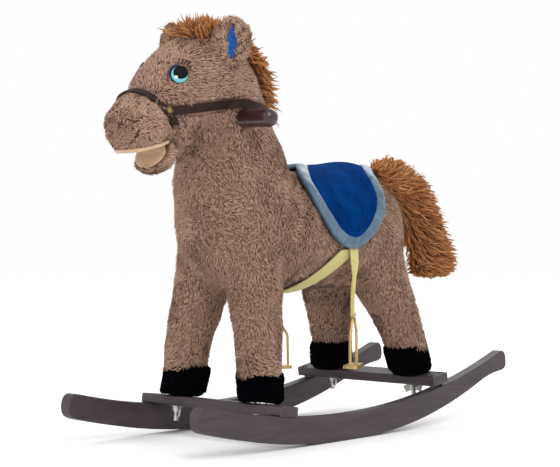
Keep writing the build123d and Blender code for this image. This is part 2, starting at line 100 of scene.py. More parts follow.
def volume_of(points, faces):
    """A sixth of the sum of the triple products of each face's first three corners."""
    a, b, c = points[faces[:, 0]], points[faces[:, 1]], points[faces[:, 2]]
    total = np.einsum("ij,ij->", a, np.cross(b, c))
    if faces.shape[1] == 4:
        total += np.einsum("ij,ij->", a, np.cross(c, points[faces[:, 3]]))
    return total / 6


def mesh_object(name, points, face_sets, smooth=True, marks=None):
    """A mesh from points in metres and arrays of faces; marks are values stored on each point."""
    mesh = bpy.data.meshes.new(name)
    corners = np.concatenate([part.reshape(-1) for part in face_sets])
    sizes = np.concatenate([np.full(len(part), part.shape[1]) for part in face_sets])
    mesh.vertices.add(len(points))
    mesh.vertices.foreach_set("co", np.asarray(points, np.float32).reshape(-1))
    mesh.loops.add(len(corners))
    mesh.loops.foreach_set("vertex_index", corners.astype(np.int32))
    mesh.polygons.add(len(sizes))
    mesh.polygons.foreach_set("loop_start", (np.cumsum(sizes) - sizes).astype(np.int32))
    for mark, values in (marks or {}).items():
        mesh.attributes.new(mark, "FLOAT", "POINT").data.foreach_set("value", values.astype(np.float32))
    mesh.polygons.foreach_set("use_smooth", np.full(len(sizes), smooth))
    mesh.update(calc_edges=True)
    piece = bpy.data.objects.new(name, mesh)
    bpy.context.scene.collection.objects.link(piece)
    return piece


def closed_rings(rings):
    """Points and faces of a closed surface: rings joined by quads, each end closed to its middle."""
    rows, around = rings.shape[:2]
    points = np.concatenate([rings.reshape(-1, 3), [rings[0].mean(0), rings[-1].mean(0)]])
    sides = ring_faces(rows, around)
    start = pole_faces(0, rows * around, around)[:, ::-1]
    end = pole_faces((rows - 1) * around, rows * around + 1, around)
    centre = points.mean(0)
    if volume_of(points - centre, sides) < 0:
        sides, start, end = sides[:, ::-1], start[:, ::-1], end[:, ::-1]
    return points, [sides, start, end]


# %% [markdown]
# Most soft parts are a round section carried along a path. `carried` is that idea in one function.

# %% A section carried along a path
def unit(vectors):
    return vectors / np.maximum(np.linalg.norm(vectors, axis=-1, keepdims=True), 1e-9)


def smooth_path(stations, count):
    """Catmull-Rom through the stations: each span a cubic whose end slopes come from its neighbours."""
    stations = np.asarray(stations, float)
    padded = np.concatenate([[2 * stations[0] - stations[1]], stations, [2 * stations[-1] - stations[-2]]])
    place = np.linspace(0, len(stations) - 1 - 1e-6, count)
    span = place.astype(int)
    t = (place - span)[:, None]
    p0, p1, p2, p3 = (padded[span + k] for k in range(4))
    bend = (2 * p0 - 5 * p1 + 4 * p2 - p3) * t**2
    twist = (3 * p1 - p0 - 3 * p2 + p3) * t**3
    return 0.5 * (2 * p1 + (p2 - p0) * t + bend + twist)


def path_axes(path):
    """Direction along the path, and two directions across it: one nearest to X, one square to both."""
    along = unit(np.gradient(path, axis=0))
    side = unit(np.array([1.0, 0, 0]) - along * along[:, :1])
    return along, side, np.cross(along, side)


def carried(path, half_side, half_up, around=40):
    """Rings: path point + side * half_side * cos(a) + up * half_up * sin(a)."""
    along, side, up = path_axes(path)
    a = np.linspace(0, 2 * np.pi, around, endpoint=False)[None, :, None]
    widths = np.asarray(half_side, float)[:, None, None]
    heights = np.asarray(half_up, float)[:, None, None]
    return path[:, None, :] + side[:, None, :] * widths * np.cos(a) + up[:, None, :] * heights * np.sin(a)


def limb(stations, count=24):
    """A stuffed limb through stations (x, y, z, half width, half depth), rounded over at both ends."""
    line = smooth_path(stations, count)
    along, side, up = path_axes(line[:, :3])
    size = line[:, 3:5]
    a = np.linspace(0, np.pi / 2, 7)[1:-1]
    first = line[0, :3] - along[0] * size[0].mean() * np.cos(a)[:, None]
    last = line[-1, :3] + along[-1] * size[-1].mean() * np.cos(a[::-1])[:, None]
    path = np.concatenate([first, line[:, :3], last])
    sizes = np.concatenate([size[0] * np.sin(a)[:, None], size, size[-1] * np.sin(a[::-1])[:, None]])
    axes = [np.concatenate([np.repeat(v[:1], 5, 0), v, np.repeat(v[-1:], 5, 0)]) for v in (side, up)]
    angle = np.linspace(0, 2 * np.pi, 40, endpoint=False)[None, :, None]
    across = axes[0][:, None, :] * sizes[:, 0][:, None, None] * np.cos(angle)
    return path[:, None, :] + across + axes[1][:, None, :] * sizes[:, 1][:, None, None] * np.sin(angle)


def ball(centre, radii, pitch=0, rows=24, around=40):
    """An ellipsoid: latitude rings of the three radii, tipped about X, moved to its centre."""
    latitude = np.linspace(0.02, np.pi - 0.02, rows)[:, None]
    longitude = np.linspace(0, 2 * np.pi, around, endpoint=False)[None, :]
    x = radii[0] * np.sin(latitude) * np.cos(longitude)
    y = radii[1] * np.cos(latitude) + 0 * longitude
    z = radii[2] * np.sin(latitude) * np.sin(longitude)
    tip = math.radians(pitch)
    turned = np.stack([x, y * math.cos(tip) - z * math.sin(tip), y * math.sin(tip) + z * math.cos(tip)], -1)
    return turned + np.array(centre, float)


def shaped(name, rings):
    """A piece from closed rings of drawing points."""
    points, faces = closed_rings(rings)
    return mesh_object(name, world(points), faces)


print("shape helpers ready")

# %% [markdown]
# Shader maths is easier to read as arithmetic. `Signal` wraps one socket, so that `1 - mask` adds a Math
# node, and `Finish` is one material whose `node` method adds any other node.

# %% Materials as expressions
class Signal:
    """One value or colour travelling through a material."""

    def __init__(self, finish, socket):
        self.finish, self.socket = finish, socket

    def maths(self, operation, left, right):
        return self.finish.node("ShaderNodeMath", {"operation": operation}, {0: left, 1: right})

    def __add__(self, other):
        return self.maths("ADD", self, other)

    def __sub__(self, other):
        return self.maths("SUBTRACT", self, other)

    def __mul__(self, other):
        return self.maths("MULTIPLY", self, other)

    def __rsub__(self, other):
        return self.maths("SUBTRACT", other, self)

    __radd__ = __add__
    __rmul__ = __mul__


class Finish:
    """A named material built from nodes around one Principled shader."""

    def __init__(self, name, **constants):
        self.material = bpy.data.materials.new(name)
        self.material.use_nodes = True
        self.tree = self.material.node_tree
        self.shader = next(n for n in self.tree.nodes if n.type == "BSDF_PRINCIPLED")
        for socket, value in constants.items():
            self.shader.inputs[socket.replace("_", " ")].default_value = value

    def node(self, kind, settings=None, inputs=None, output=0):
        """Adds a node, makes its settings, fills its sockets and gives one output as a Signal."""
        made = self.tree.nodes.new(kind)
        for setting, value in (settings or {}).items():
            if setting == "stops":
                ramp = made.color_ramp
                for index, (place, colour) in enumerate(value):
                    stop = ramp.elements[index] if index < 2 else ramp.elements.new(place)
                    stop.position, stop.color = place, colour
            else:
                setattr(made, setting, value)
        for socket, value in (inputs or {}).items():
            if isinstance(value, Signal):
                self.tree.links.new(value.socket, made.inputs[socket])
            else:
                made.inputs[socket].default_value = value
        return Signal(self, made.outputs[output])

    def place(self, scale=(1, 1, 1), turn=(0, 0, 0)):
        """Object coordinates, scaled and turned."""
        where = self.node("ShaderNodeTexCoord", output="Object")
        return self.node("ShaderNodeMapping", {}, {"Vector": where, "Scale": scale, "Rotation": turn})

    def noise(self, size, detail=4.0, roughness=0.6, distortion=0.0, where=None):
        """Cloudy noise; size is the width of its blotches in metres."""
        inputs = {"Scale": 1 / size, "Detail": detail, "Roughness": roughness, "Distortion": distortion}
        inputs["Vector"] = where or self.place()
        return self.node("ShaderNodeTexNoise", {}, inputs)

    def mark(self, name):
        """A value stored on the mesh."""
        return self.node("ShaderNodeAttribute", {"attribute_name": name}, output="Fac")

    def blend(self, factor, first, second):
        """Mixes two colours."""
        settings = {"data_type": "RGBA"}
        return self.node("ShaderNodeMix", settings, {0: factor, 6: first, 7: second}, output=2)

    def ramp(self, value, *stops):
        return self.node("ShaderNodeValToRGB", {"stops": stops}, {0: value})

    def tint(self, value, low, dark, high, light):
        """Base colour: dark where the value is low, light where it is high."""
        self.feed("Base Color", self.ramp(value, (low, dark), (high, light)))

    def feed(self, socket, value):
        self.tree.links.new(value.socket, self.shader.inputs[socket])

    def relief(self, height, depth, strength=1.0):
        """A bump of a height in 0..1 times a depth in metres."""
        inputs = {"Height": height, "Distance": depth, "Strength": strength}
        self.feed("Normal", self.node("ShaderNodeBump", {}, inputs))


def colour(red, green, blue):
    return (red, green, blue, 1.0)


def wear(piece, finish):
    """Gives a piece one material."""
    piece.data.materials.clear()
    piece.data.materials.append(finish.material)


print("material helpers ready")

# %% [markdown]
# The plush is a short curled pile on a knitted back. Its colour is not even, and light and shade in the pile
# are
# painted into it as well: the roots are painted darker as shade deep between the tufts, the tips lighter as a
# painted highlight. One finish paints it all from two stored values, `reach` (0 at the root of a tuft, 1 at its
# tip), which carries that painted shade and highlight, and `tone` (a random tone of its own for each tuft).

# %% Plush finishes
def plush_finish(name, deep, middle, light, blotch=0.05, sheen=0.06):
    """Root, body and tip colours, mottled by noise, with a soft sheen; the dark root colour is painted shade
    deep in the pile, the light tip colour a painted highlight.
    """
    gloss = sheen * 0.8
    finish = Finish(name, Roughness=1.0, Sheen_Weight=sheen, Sheen_Roughness=0.6, Specular_IOR_Level=gloss)
    cloudy = finish.noise(blotch, 5.0, 0.65)
    fine = finish.noise(0.007, 3.0, 0.7)
    # reach paints the roots darker as shade and the tips lighter as highlight; a piece with no stored reach
    # takes the dark root colour. tone and the two noises are the plush's own mottling.
    shade = finish.mark("reach") * 0.45 + finish.mark("tone") * 0.3 + cloudy * 0.35 + fine * 0.3 - 0.28
    finish.feed("Base Color", finish.ramp(shade, (0.1, deep), (0.95, light), (0.48, middle)))
    finish.relief(fine, 0.003, 0.6)
    return finish


pile_finish = plush_finish(
    "taupe plush", colour(0.17, 0.092, 0.063), colour(0.42, 0.262, 0.19), colour(0.60, 0.41, 0.31), 0.045)
hoof_finish = plush_finish(
    "dark hoof plush", colour(0.0006, 0.0006, 0.0012), colour(0.0015, 0.0015, 0.003),
    colour(0.005, 0.005, 0.009), sheen=0.005)
mane_finish = plush_finish(
    "caramel hair", colour(0.06, 0.019, 0.006), colour(0.34, 0.128, 0.04), colour(0.63, 0.32, 0.13), 0.03)
print("plush finishes:", pile_finish.material.name, hoof_finish.material.name, mane_finish.material.name)

# %% [markdown]
# A plush toy is sewn from flat panels and stuffed until they swell. The body here is made the same way
# round: simple stuffed forms for the trunk, neck, head and legs are pushed into each other, melted into
# one skin by a voxel remesh, and swollen with cloth pressure.

# %% The stuffed forms
PILE = 4  # mm that the tufts add outside the skin
VOXEL = 0.006
SWELL_CAP = 0.004


def leg_forms(side):
    """Front and rear leg on one side: limbs that widen into shoulder and thigh."""
    front = [(80, -177, 84, 33, 33), (71, -171, 150, 36, 36)]
    front += [(57, -162, 215, 41, 43), (38, -152, 290, 50, 56)]
    rear = [(82, 184, 104, 33, 32), (74, 170, 150, 36, 34)]
    rear += [(62, 148, 205, 42, 41), (43, 125, 280, 52, 55)]
    return [limb([(side * x, y, z, w - PILE, d - PILE) for x, y, z, w, d in leg]) for leg in (front, rear)]


trunk = limb([(0, -139, 311, 88, 88), (0, -10, 313, 88, 89), (0, 116, 311, 91, 91)], 20)
neck = limb([(0, -141, 330, 84, 95), (0, -154, 400, 77, 88), (0, -170, 470, 62, 68), (0, -187, 521, 58, 62)])
skull = ball((0, -248, 529), (62, 111, 64), 28, 32, 48)
cheek = ball((0, -300, 500), (47, 52, 46), 28)
chin = ball((0, -290, 466), (46, 36, 30))
forms = [trunk, neck, skull, cheek, chin] + leg_forms(1) + leg_forms(-1)


# %% [markdown]
# Three tools work on whole meshes: `joined` puts closed surfaces together, `melted` turns them into one
# skin, and `swollen` stuffs it. The cloth solver stands in for filling pressed into a sewn cover.

# %% Melting and stuffing
def joined(name, rings_list):
    """Several closed surfaces in one mesh."""
    points, faces, start = [], [], 0
    for rings in rings_list:
        part_points, part_faces = closed_rings(rings)
        points.append(part_points)
        faces += [face + start for face in part_faces]
        start += len(part_points)
    return mesh_object(name, world(np.concatenate(points)), faces)


def settled(piece):
    """Makes a piece's modifiers part of its mesh."""
    depsgraph = bpy.context.evaluated_depsgraph_get()
    mesh = bpy.data.meshes.new_from_object(piece.evaluated_get(depsgraph))
    piece.modifiers.clear()
    piece.data = mesh
    return piece


def melted(piece, voxel, rounds):
    """Voxel remesh, then smoothing rounds."""
    remesh = piece.modifiers.new("melt", "REMESH")
    remesh.mode, remesh.voxel_size, remesh.use_smooth_shade = "VOXEL", voxel, True
    smooth = piece.modifiers.new("smooth", "SMOOTH")
    smooth.factor, smooth.iterations = 0.5, rounds
    return settled(piece)


def coordinates(mesh):
    """All points of a mesh as one array."""
    flat = np.empty(len(mesh.vertices) * 3, np.float32)
    mesh.vertices.foreach_get("co", flat)
    return flat.reshape(-1, 3).astype(float)


def put_coordinates(mesh, points):
    """Writes an array back over a mesh's points."""
    mesh.vertices.foreach_set("co", points.astype(np.float32).reshape(-1))
    mesh.update()


def swollen(piece, pressure, cap, frames=20):
    """Cloth under pressure without weight; a point that moved further than the cap is brought back to it."""
    rest = coordinates(piece.data)
    cloth = piece.modifiers.new("stuffing", "CLOTH")
    cloth.settings.use_pressure = True
    cloth.settings.uniform_pressure_force = pressure
    cloth.settings.effector_weights.gravity = 0
    scene = bpy.context.scene
    for number in range(1, frames + 1):
        scene.frame_set(number)
    settled(piece)
    scene.frame_set(1)
    moved = coordinates(piece.data) - rest
    length = np.linalg.norm(moved, axis=1, keepdims=True)
    put_coordinates(piece.data, rest + moved * np.minimum(1, cap / np.maximum(length, 1e-9)))
    print(piece.name, "swelled by up to", round(float(length.max()) * 1000, 1), "mm, capped at", cap * 1000)
    return piece


skin = melted(joined("plush_body", forms), VOXEL, 14)
print("skin points", len(skin.data.vertices))

# %% [markdown]
# Tufts of pile are small three-sided spikes that bend over. They stand at random places on a skin, more
# of them on larger faces, and lie along a direction given for each place, the way brushed plush does.

# %% Tufts of pile
def scattered(piece, count, seed):
    """Random places on a mesh: a triangle chosen by area, then barycentric weights folded into it."""
    mesh = piece.data
    mesh.calc_loop_triangles()
    corners = np.empty(len(mesh.loop_triangles) * 3, np.int32)
    mesh.loop_triangles.foreach_get("vertices", corners)
    corners = corners.reshape(-1, 3)
    points = coordinates(mesh)
    normals = np.empty(len(mesh.vertices) * 3, np.float32)
    mesh.vertices.foreach_get("normal", normals)
    normals = normals.reshape(-1, 3).astype(float)
    a, b, c = (points[corners[:, k]] for k in range(3))
    area = np.linalg.norm(np.cross(b - a, c - a), axis=1)
    chance = np.random.default_rng(seed)
    chosen = chance.choice(len(corners), count, p=area / area.sum())
    u, v = chance.random((2, count, 1))
    over = (u + v) > 1
    u, v = np.where(over, 1 - u, u), np.where(over, 1 - v, v)
    weights = (1 - u - v, u, v)
    place = sum(w * points[corners[chosen, k]] for k, w in enumerate(weights))
    normal = sum(w * normals[corners[chosen, k]] for k, w in enumerate(weights))
    return place, unit(normal)


def waves(points, size, seed):
    """Three smooth values per place: sums of sines along six random directions, about one size long."""
    chance = np.random.default_rng(seed)
    directions = chance.normal(size=(3, 6, 3)) / size
    phases = chance.random((3, 6)) * 2 * np.pi
    total = np.sin(np.einsum("nj,kmj->nkm", points, directions) + phases).sum(-1)
    return total / 2.5


def tufts(name, places, normals, lay, length, width, seed, body, finish, darker=0.0):
    """Spikes: base triangle sunk in the skin, a smaller one half way up, and a tip carried along the lay."""
    chance = np.random.default_rng(seed)
    count = len(places)
    lay = unit(lay - normals * np.einsum("ij,ij->i", lay, normals)[:, None])
    across = np.cross(normals, lay)
    length = (length * (0.65 + 0.7 * chance.random(count)))[:, None]
    base = places - normals * 0.0015
    middle = places + normals * length * 0.42 + lay * length * 0.22
    tip = places + normals * length * 0.60 + lay * length * 0.72
    angle = np.arange(3) * 2 * np.pi / 3
    spread = width * (0.7 + 0.6 * chance.random((count, 1, 1)))
    ring = lay[:, None, :] * np.cos(angle)[:, None] + across[:, None, :] * np.sin(angle)[:, None]
    foot, waist = base[:, None] + ring * spread, middle[:, None] + ring * spread * 0.75
    stack = np.concatenate([foot, waist, tip[:, None]], 1)
    start = (np.arange(count) * 7)[:, None, None]
    sides = np.array([[0, 1, 4, 3], [1, 2, 5, 4], [2, 0, 3, 5]]) + start
    ends = np.array([[3, 4, 6], [4, 5, 6], [5, 3, 6], [0, 2, 1]]) + start
    # reach: 0 at the sunk base, 0.55 half way up, 1 at the tip; the finish turns it into painted shade at the
    # roots and a painted highlight at the tips
    reach = np.tile([0, 0, 0, 0.55, 0.55, 0.55, 1.0], count)
    tone = np.repeat(chance.random(count) - darker, 7)
    faces = [sides.reshape(-1, 4), ends.reshape(-1, 3)]
    piece = mesh_object(name, stack.reshape(-1, 3), faces, True, {"reach": reach, "tone": tone})
    wear(piece, finish)
    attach(piece, body)
    return piece


print("a tuft has 7 points and 7 faces")

# %% [markdown]
# Under the saddle, the bridle and the embroidered eyes the pile is pressed flat, so no tufts stand there.
# The saddle is drawn on the trunk as if unrolled: `over` is the angle down from the top of the back.

# %% Where no pile stands
TRUNK_Z = 312
saddle_front = np.array([
    (0, -2), (12, -28), (30, -55), (40, -64), (48, -66), (63, -64),
    (74, -57), (85, -45), (95, -30), (101, -12), (104, 3), (105, 18)])
saddle_rear = np.array([
    (0, 172), (12, 152), (32, 118), (49, 110), (65, 103),
    (80, 86), (93, 63), (101, 43), (104, 30), (105, 20)])
eye_centre = np.array([48, -312, 541.0])


def drawing(points):
    """Metres in the frame back to millimetres on the drawing."""
    return (points - np.array([0, middle_y, 0])) * 1000


def under_saddle(points, margin=4):
    """True where a place lies inside the saddle outline, which is read at its angle from the top."""
    p = drawing(points)
    over = np.degrees(np.arctan2(np.abs(p[:, 0]), p[:, 2] - TRUNK_Z))
    front = np.interp(over, *saddle_front.T) + margin
    rear = np.interp(over, *saddle_rear.T) - margin
    return (over < 103) & (p[:, 1] > front) & (p[:, 1] < rear) & (p[:, 2] > 270) & (np.abs(p[:, 0]) < 110)


def from_eye(points):
    """Distance in mm from the middle of the nearer eye."""
    side = np.sign(points[:, :1] * [1, 0, 0] + [0, 1, 1])
    return np.linalg.norm(drawing(points) * side - eye_centre, axis=1)


def surface_samples(names, count):
    """Random places on CAD straps, to measure distances from."""
    return np.concatenate([scattered(frame["nodes"][name], count, 91)[0] for name in names])


def from_points(places, targets, reach=0.03):
    """Distance in metres from each place to the nearest target, worked out only near the targets' box."""
    distance = np.full(len(places), 1.0)
    close = np.all((places > targets.min(0) - reach) & (places < targets.max(0) + reach), axis=1)
    chosen = np.flatnonzero(close)
    for part in np.array_split(chosen, 1 + len(chosen) // 400):
        gaps = places[part][:, None, :] - targets[None]
        distance[part] = np.sqrt((gaps**2).sum(-1).min(1))
    return distance


def lay_direction(points):
    """Trunk pile lies back and down, leg pile down, head pile back from the nose, all gently swirled."""
    p = drawing(points)
    head = np.clip((p[:, 2] - 470) / 40, 0, 1)[:, None] * np.clip((-170 - p[:, 1]) / 40, 0, 1)[:, None]
    low = np.clip((250 - p[:, 2]) / 60, 0, 1)[:, None]
    trunk_lay = np.array([0, 0.45, -0.9]) * (1 - low) + np.array([0, 0, -1.0]) * low
    lay = trunk_lay * (1 - head) + np.array([0, 0.95, 0.15]) * head
    return lay + 0.45 * waves(points, 0.035, 5) + 0.5 * waves(points, 0.009, 6)


print("saddle outline points:", len(saddle_front) + len(saddle_rear))

# %% [markdown]
# Now the skin is stuffed. It takes the place of the plain covers and fillings of trunk, head and legs. A
# stored `reach` of about a third gives it the darker root colour: painted shade for the skin that shows between
# the tufts.

# %% The stuffed skin
skin = swollen(skin, 4, SWELL_CAP)
# the skin shows only deep between the tufts, so it carries the pile's painted root shade
painted_root_shade = np.full(len(skin.data.vertices), 0.35, np.float32)
skin.data.attributes.new("reach", "FLOAT", "POINT").data.foreach_set("value", painted_root_shade)
wear(skin, pile_finish)
subdivide = skin.modifiers.new("finer", "SUBSURF")
subdivide.levels = subdivide.render_levels = 1
settled(skin)
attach(skin, "horse")
covers = ["body_cover", "body_filling", "head_cover", "head_filling"]
covers += [f"leg_{end}_{side}" for end in ("front", "rear") for side in ("left", "right")]
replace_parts(skin, *covers)
print("skin box", [round(float(v), 3) for v in np.ptp(coordinates(skin.data), axis=0)], "m")

# %% [markdown]
# A hair system could grow the pile, but hair is not a mesh and would be lost when the model is exported.
# Real tufts are a mesh. They are split from nose to tail into seven pieces, so that none grows too heavy.

# %% Pile on the skin
TUFTS = 124000
TUFT_WIDTH = 0.00105
FRONT_CUFF, REAR_CUFF = 103, 123  # heights in mm where the hooves cover the legs

places, normals = scattered(skin, TUFTS, 11)
straps = surface_samples(["noseband", "rein"], 2500)
low = drawing(places)[:, 2] < np.where(places[:, 1] < 0, FRONT_CUFF, REAR_CUFF)
bare = low | under_saddle(places) | (from_eye(places) < 15.5) | (from_points(places, straps) < 0.0055)
places, normals = places[~bare], normals[~bare]
heights = 0.0078 + 0.0016 * waves(places, 0.012, 8)[:, 0]
heights = heights * np.clip((from_eye(places) - 4) / 26, 0.45, 1)
for number, part in enumerate(np.array_split(np.argsort(places[:, 1]), 7)):
    where, facing, long = places[part], normals[part], heights[part]
    lays = lay_direction(where)
    name = f"pile_{number + 1}"
    pile = tufts(name, where, facing, lays, long, TUFT_WIDTH, 20 + number, "horse", pile_finish)
print("tufts on the skin:", len(places))

# %% [markdown]
# The muzzle is its own stuffed ball of longer, curlier pile, flat below, where a felt palate closes it. A
# sculpted mesh would do, but a ball held above a sloping plane gives the same shape in two lines.

# %% Muzzle
PALATE_SLOPE = math.radians(16)
muzzle_rings = ball((0, -345, 466), (44, 43, 43), 0, 40, 56)
palate = 449 + (muzzle_rings[..., 1] + 312) * math.tan(PALATE_SLOPE)
lip = np.clip((-366 - muzzle_rings[..., 1]) / 12, 0, 1)
muzzle_rings[..., 2] = np.maximum(muzzle_rings[..., 2], palate - 1 - 8 * lip)
muzzle = shaped("muzzle_plush", muzzle_rings)
wear(muzzle, pile_finish)
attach(muzzle, "horse")
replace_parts(muzzle, "muzzle")


def curly(name, base, count, seed, body, keep, height=0.0095, finish=pile_finish, width=0.0019, dark=None):
    """Tufts that lie in every direction, swirled in small curls."""
    where, facing = scattered(base, count, seed)
    kept = keep(where, facing)
    where, facing = where[kept], facing[kept]
    lays = waves(where, 0.006, seed + 1) + 0.6 * waves(where, 0.02, seed + 2)
    long = height * (1 + 0.25 * waves(where, 0.01, seed + 3)[:, 0])
    darker = 0.0 if dark is None else dark(drawing(where))
    pile = tufts(name, where, facing, lays, long, width, seed, body, finish, darker)
    return pile


def nose_shade(p):
    """Darker curls over the front of the nose, and darkest in the two nostrils, where the dark curls are
    painted shade standing in for the nostril holes.
    """
    p = np.abs(p * [1, 0, 0]) + p * [0, 1, 1]
    front = np.exp(-((np.linalg.norm(p - [12, -386, 462], axis=1) / 20) ** 2))
    # the nostrils are not hollowed out: their darkness is painted shade
    nostril = np.exp(-((np.linalg.norm(p - [38, -361, 494], axis=1) / 4.5) ** 2))
    return 0.9 * front + 2.2 * nostril


def clear_muzzle(places, facing):
    """Leaves out the flat underside, the back, and the path of the noseband."""
    return (facing[:, 2] > -0.8) & (drawing(places)[:, 1] < -318) & (from_points(places, straps) > 0.004)


curly("muzzle_pile", muzzle, 11000, 31, "horse", clear_muzzle, 0.0092, width=0.0014, dark=nose_shade)
print("muzzle box in mm:", [round(v, 1) for v in np.ptp(drawing(coordinates(muzzle.data)), axis=0)])

# %% [markdown]
# A second scoop of plush hangs under the muzzle as the jaw, lined with beige felt, and opens on a hidden
# hinge. It is a ball cut by the plane of its face. Felt is matted wool, so its colour is cloudy, not woven.

# %% Felt, jaw and palate
felt_finish = Finish("beige felt", Roughness=0.95, Sheen_Weight=0.4, Specular_IOR_Level=0.1)
felt_cloud = felt_finish.noise(0.006, 6.0, 0.8)
felt_finish.tint(felt_cloud, 0.3, colour(0.42, 0.27, 0.16), 0.75, colour(0.66, 0.47, 0.31))
felt_finish.relief(felt_finish.noise(0.0012, 3.0, 0.8), 0.0006)



def sloping(angle):
    """A direction that points forward and down by an angle, in the middle plane."""
    return np.array([0, -math.cos(angle), -math.sin(angle)])


def square_to(angle):
    """The direction square to `sloping`, forward and up."""
    return np.array([0, -math.sin(angle), math.cos(angle)])


JAW_OPEN = math.radians(60)
hinge = np.array([0, -312, 450.0])
jaw_face, jaw_along = square_to(JAW_OPEN), sloping(JAW_OPEN)
jaw_centre = hinge + 27 * sloping(math.radians(74))


def cut_face(rings, hollow):
    """Points in front of the jaw's top plane go back to it, and deeper towards the middle of the scoop."""
    beyond = (rings - hinge) @ jaw_face + 3.5
    from_middle = np.linalg.norm((rings - jaw_centre) * [0.8, 1, 1], axis=-1) / 26
    dish = hollow * np.clip(1 - from_middle**2, 0, 1)
    return rings - jaw_face * (np.maximum(beyond, 0) + np.where(beyond > -1, dish, 0))[..., None]


jaw = shaped("jaw_plush", cut_face(ball(jaw_centre + [0, 0, 2], (31, 25, 24), 60, 44, 56), 6))
wear(jaw, pile_finish)
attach(jaw, "jaw")
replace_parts(jaw, "jaw")


def on_back(places, facing):
    """True on the plush side of the scoop."""
    return (drawing(places) - hinge) @ jaw_face < -5


curly("jaw_pile", jaw, 5200, 41, "jaw", on_back, 0.0082, width=0.0015)


def felt_pad(name, centre, side, along, face, radii, dish, thickness, body, rise=0):
    """A round felt pad: rings out over its face and back under it, dished by a parabola, one side raised."""
    out = np.linspace(0.03, 1, 12)
    reach = np.concatenate([out, out[::-1]])[:, None, None]
    lift = np.concatenate([np.full(12, thickness), np.zeros(12)])[:, None, None]
    a = np.linspace(0, 2 * np.pi, 56, endpoint=False)[None, :, None]
    spokes = radii[0] * np.cos(a) * np.array(side) + radii[1] * np.sin(a) * np.array(along)
    flat = np.array(centre) + reach * spokes
    raised = rise * np.clip(-np.sin(a) * reach, 0, 1)
    piece = shaped(name, flat + np.array(face) * (lift + raised - dish * (1 - reach**2)))
    wear(piece, felt_finish)
    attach(piece, body)
    return piece


across = np.array([1.0, 0, 0])
felt_middle = jaw_centre + jaw_face * 3.4
lining = felt_pad("jaw_felt", felt_middle, across, jaw_along, jaw_face, (29, 24), 2, 1.4, "jaw", 8)
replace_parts(lining, "jaw_lining")
palate_along, palate_down = sloping(PALATE_SLOPE), -square_to(PALATE_SLOPE)
palate_middle = (0, -341, 440.4)
palate_pad = felt_pad(
    "palate_felt", palate_middle, across, palate_along, palate_down, (41, 38), -1.5, 5, "horse")
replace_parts(palate_pad, "mouth_lining")
print("jaw and palate lined with", felt_finish.material.name)

# %% [markdown]
# Each ear is a puffed pad folded along its middle, so that its blue felt lining shows as a narrow slit.
# The pad is a ball pressed flat, with a groove pushed into the side that faces forward.

# %% Ears
blue_felt_finish = Finish("blue felt", Roughness=0.9, Sheen_Weight=0.4, Specular_IOR_Level=0.1)
blue_cloud = blue_felt_finish.noise(0.004, 4.0, 0.7)
blue_felt_finish.tint(blue_cloud, 0.3, colour(0.004, 0.05, 0.22), 0.75, colour(0.01, 0.13, 0.45))
blue_felt_finish.relief(blue_cloud, 0.0008)


def ear(side_name, side):
    """A ball of half sizes width, thickness and height on the ear's own axes, grooved by a bell curve."""
    turn = math.radians(40)
    face = np.array([math.sin(turn) * side, -math.cos(turn), 0.12])
    wide = np.array([math.cos(turn) * side, math.sin(turn), 0])
    tall = np.array([0.05 * side, 0.14, 1.0])
    centre = np.array([side * 60, -221, 588])
    local = ball((0, 0, 0), (27, 14, 34), 0, 44, 64)
    w, t, h = local[..., 0], local[..., 1], local[..., 2]
    slit_middle = 3 + 3 * (h / 34) ** 2
    front = np.clip(t / 6, 0, 1)
    groove = 13 * np.exp(-(((w - slit_middle) / 6.5) ** 2)) * front * np.clip(1 - (h / 33) ** 2, 0, 1)
    t = t - groove + 3 * np.exp(-(((np.abs(w - slit_middle) - 13) / 6) ** 2)) * front
    w = w * (1 - 0.14 * h / 34)
    puffed = centre + w[..., None] * wide + t[..., None] * face + h[..., None] * tall
    pad = shaped(f"ear_plush_{side_name}", puffed)
    wear(pad, pile_finish)
    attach(pad, "horse")
    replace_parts(pad, f"ear_{side_name}")

    def outside(places, facing):
        """Keeps tufts off the slit and its inner sides."""
        offset = drawing(places) - (centre + 4 * wide)
        return ~((np.abs(offset @ wide) < 8) & (offset @ face > -2) & (np.abs(offset @ tall) < 26))

    curly(f"ear_pile_{side_name}", pad, 4600, 51 + side, "horse", outside, 0.0068, width=0.0013)
    slit = ball((0, 0, 0), (7.5, 2.2, 25), 0, 24, 24)
    bowl = 0.10 * slit[..., :1] ** 2
    slit = centre + (slit[..., :1] + 4) * wide + (slit[..., 1:2] + 4.6 + bowl) * face + slit[..., 2:] * tall
    inner = shaped(f"ear_lining_{side_name}", slit)
    wear(inner, blue_felt_finish)
    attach(inner, "horse")
    return inner


linings = [ear("left", 1), ear("right", -1)]
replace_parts(linings[0], "ear_linings")
print("ears made")

# %% [markdown]
# The hooves are dark plush cuffs sewn round the ends of the legs. Each stands flat on its wooden bar. A
# stack of rings whose radius follows a short list is enough: the short pile on it softens the outline.

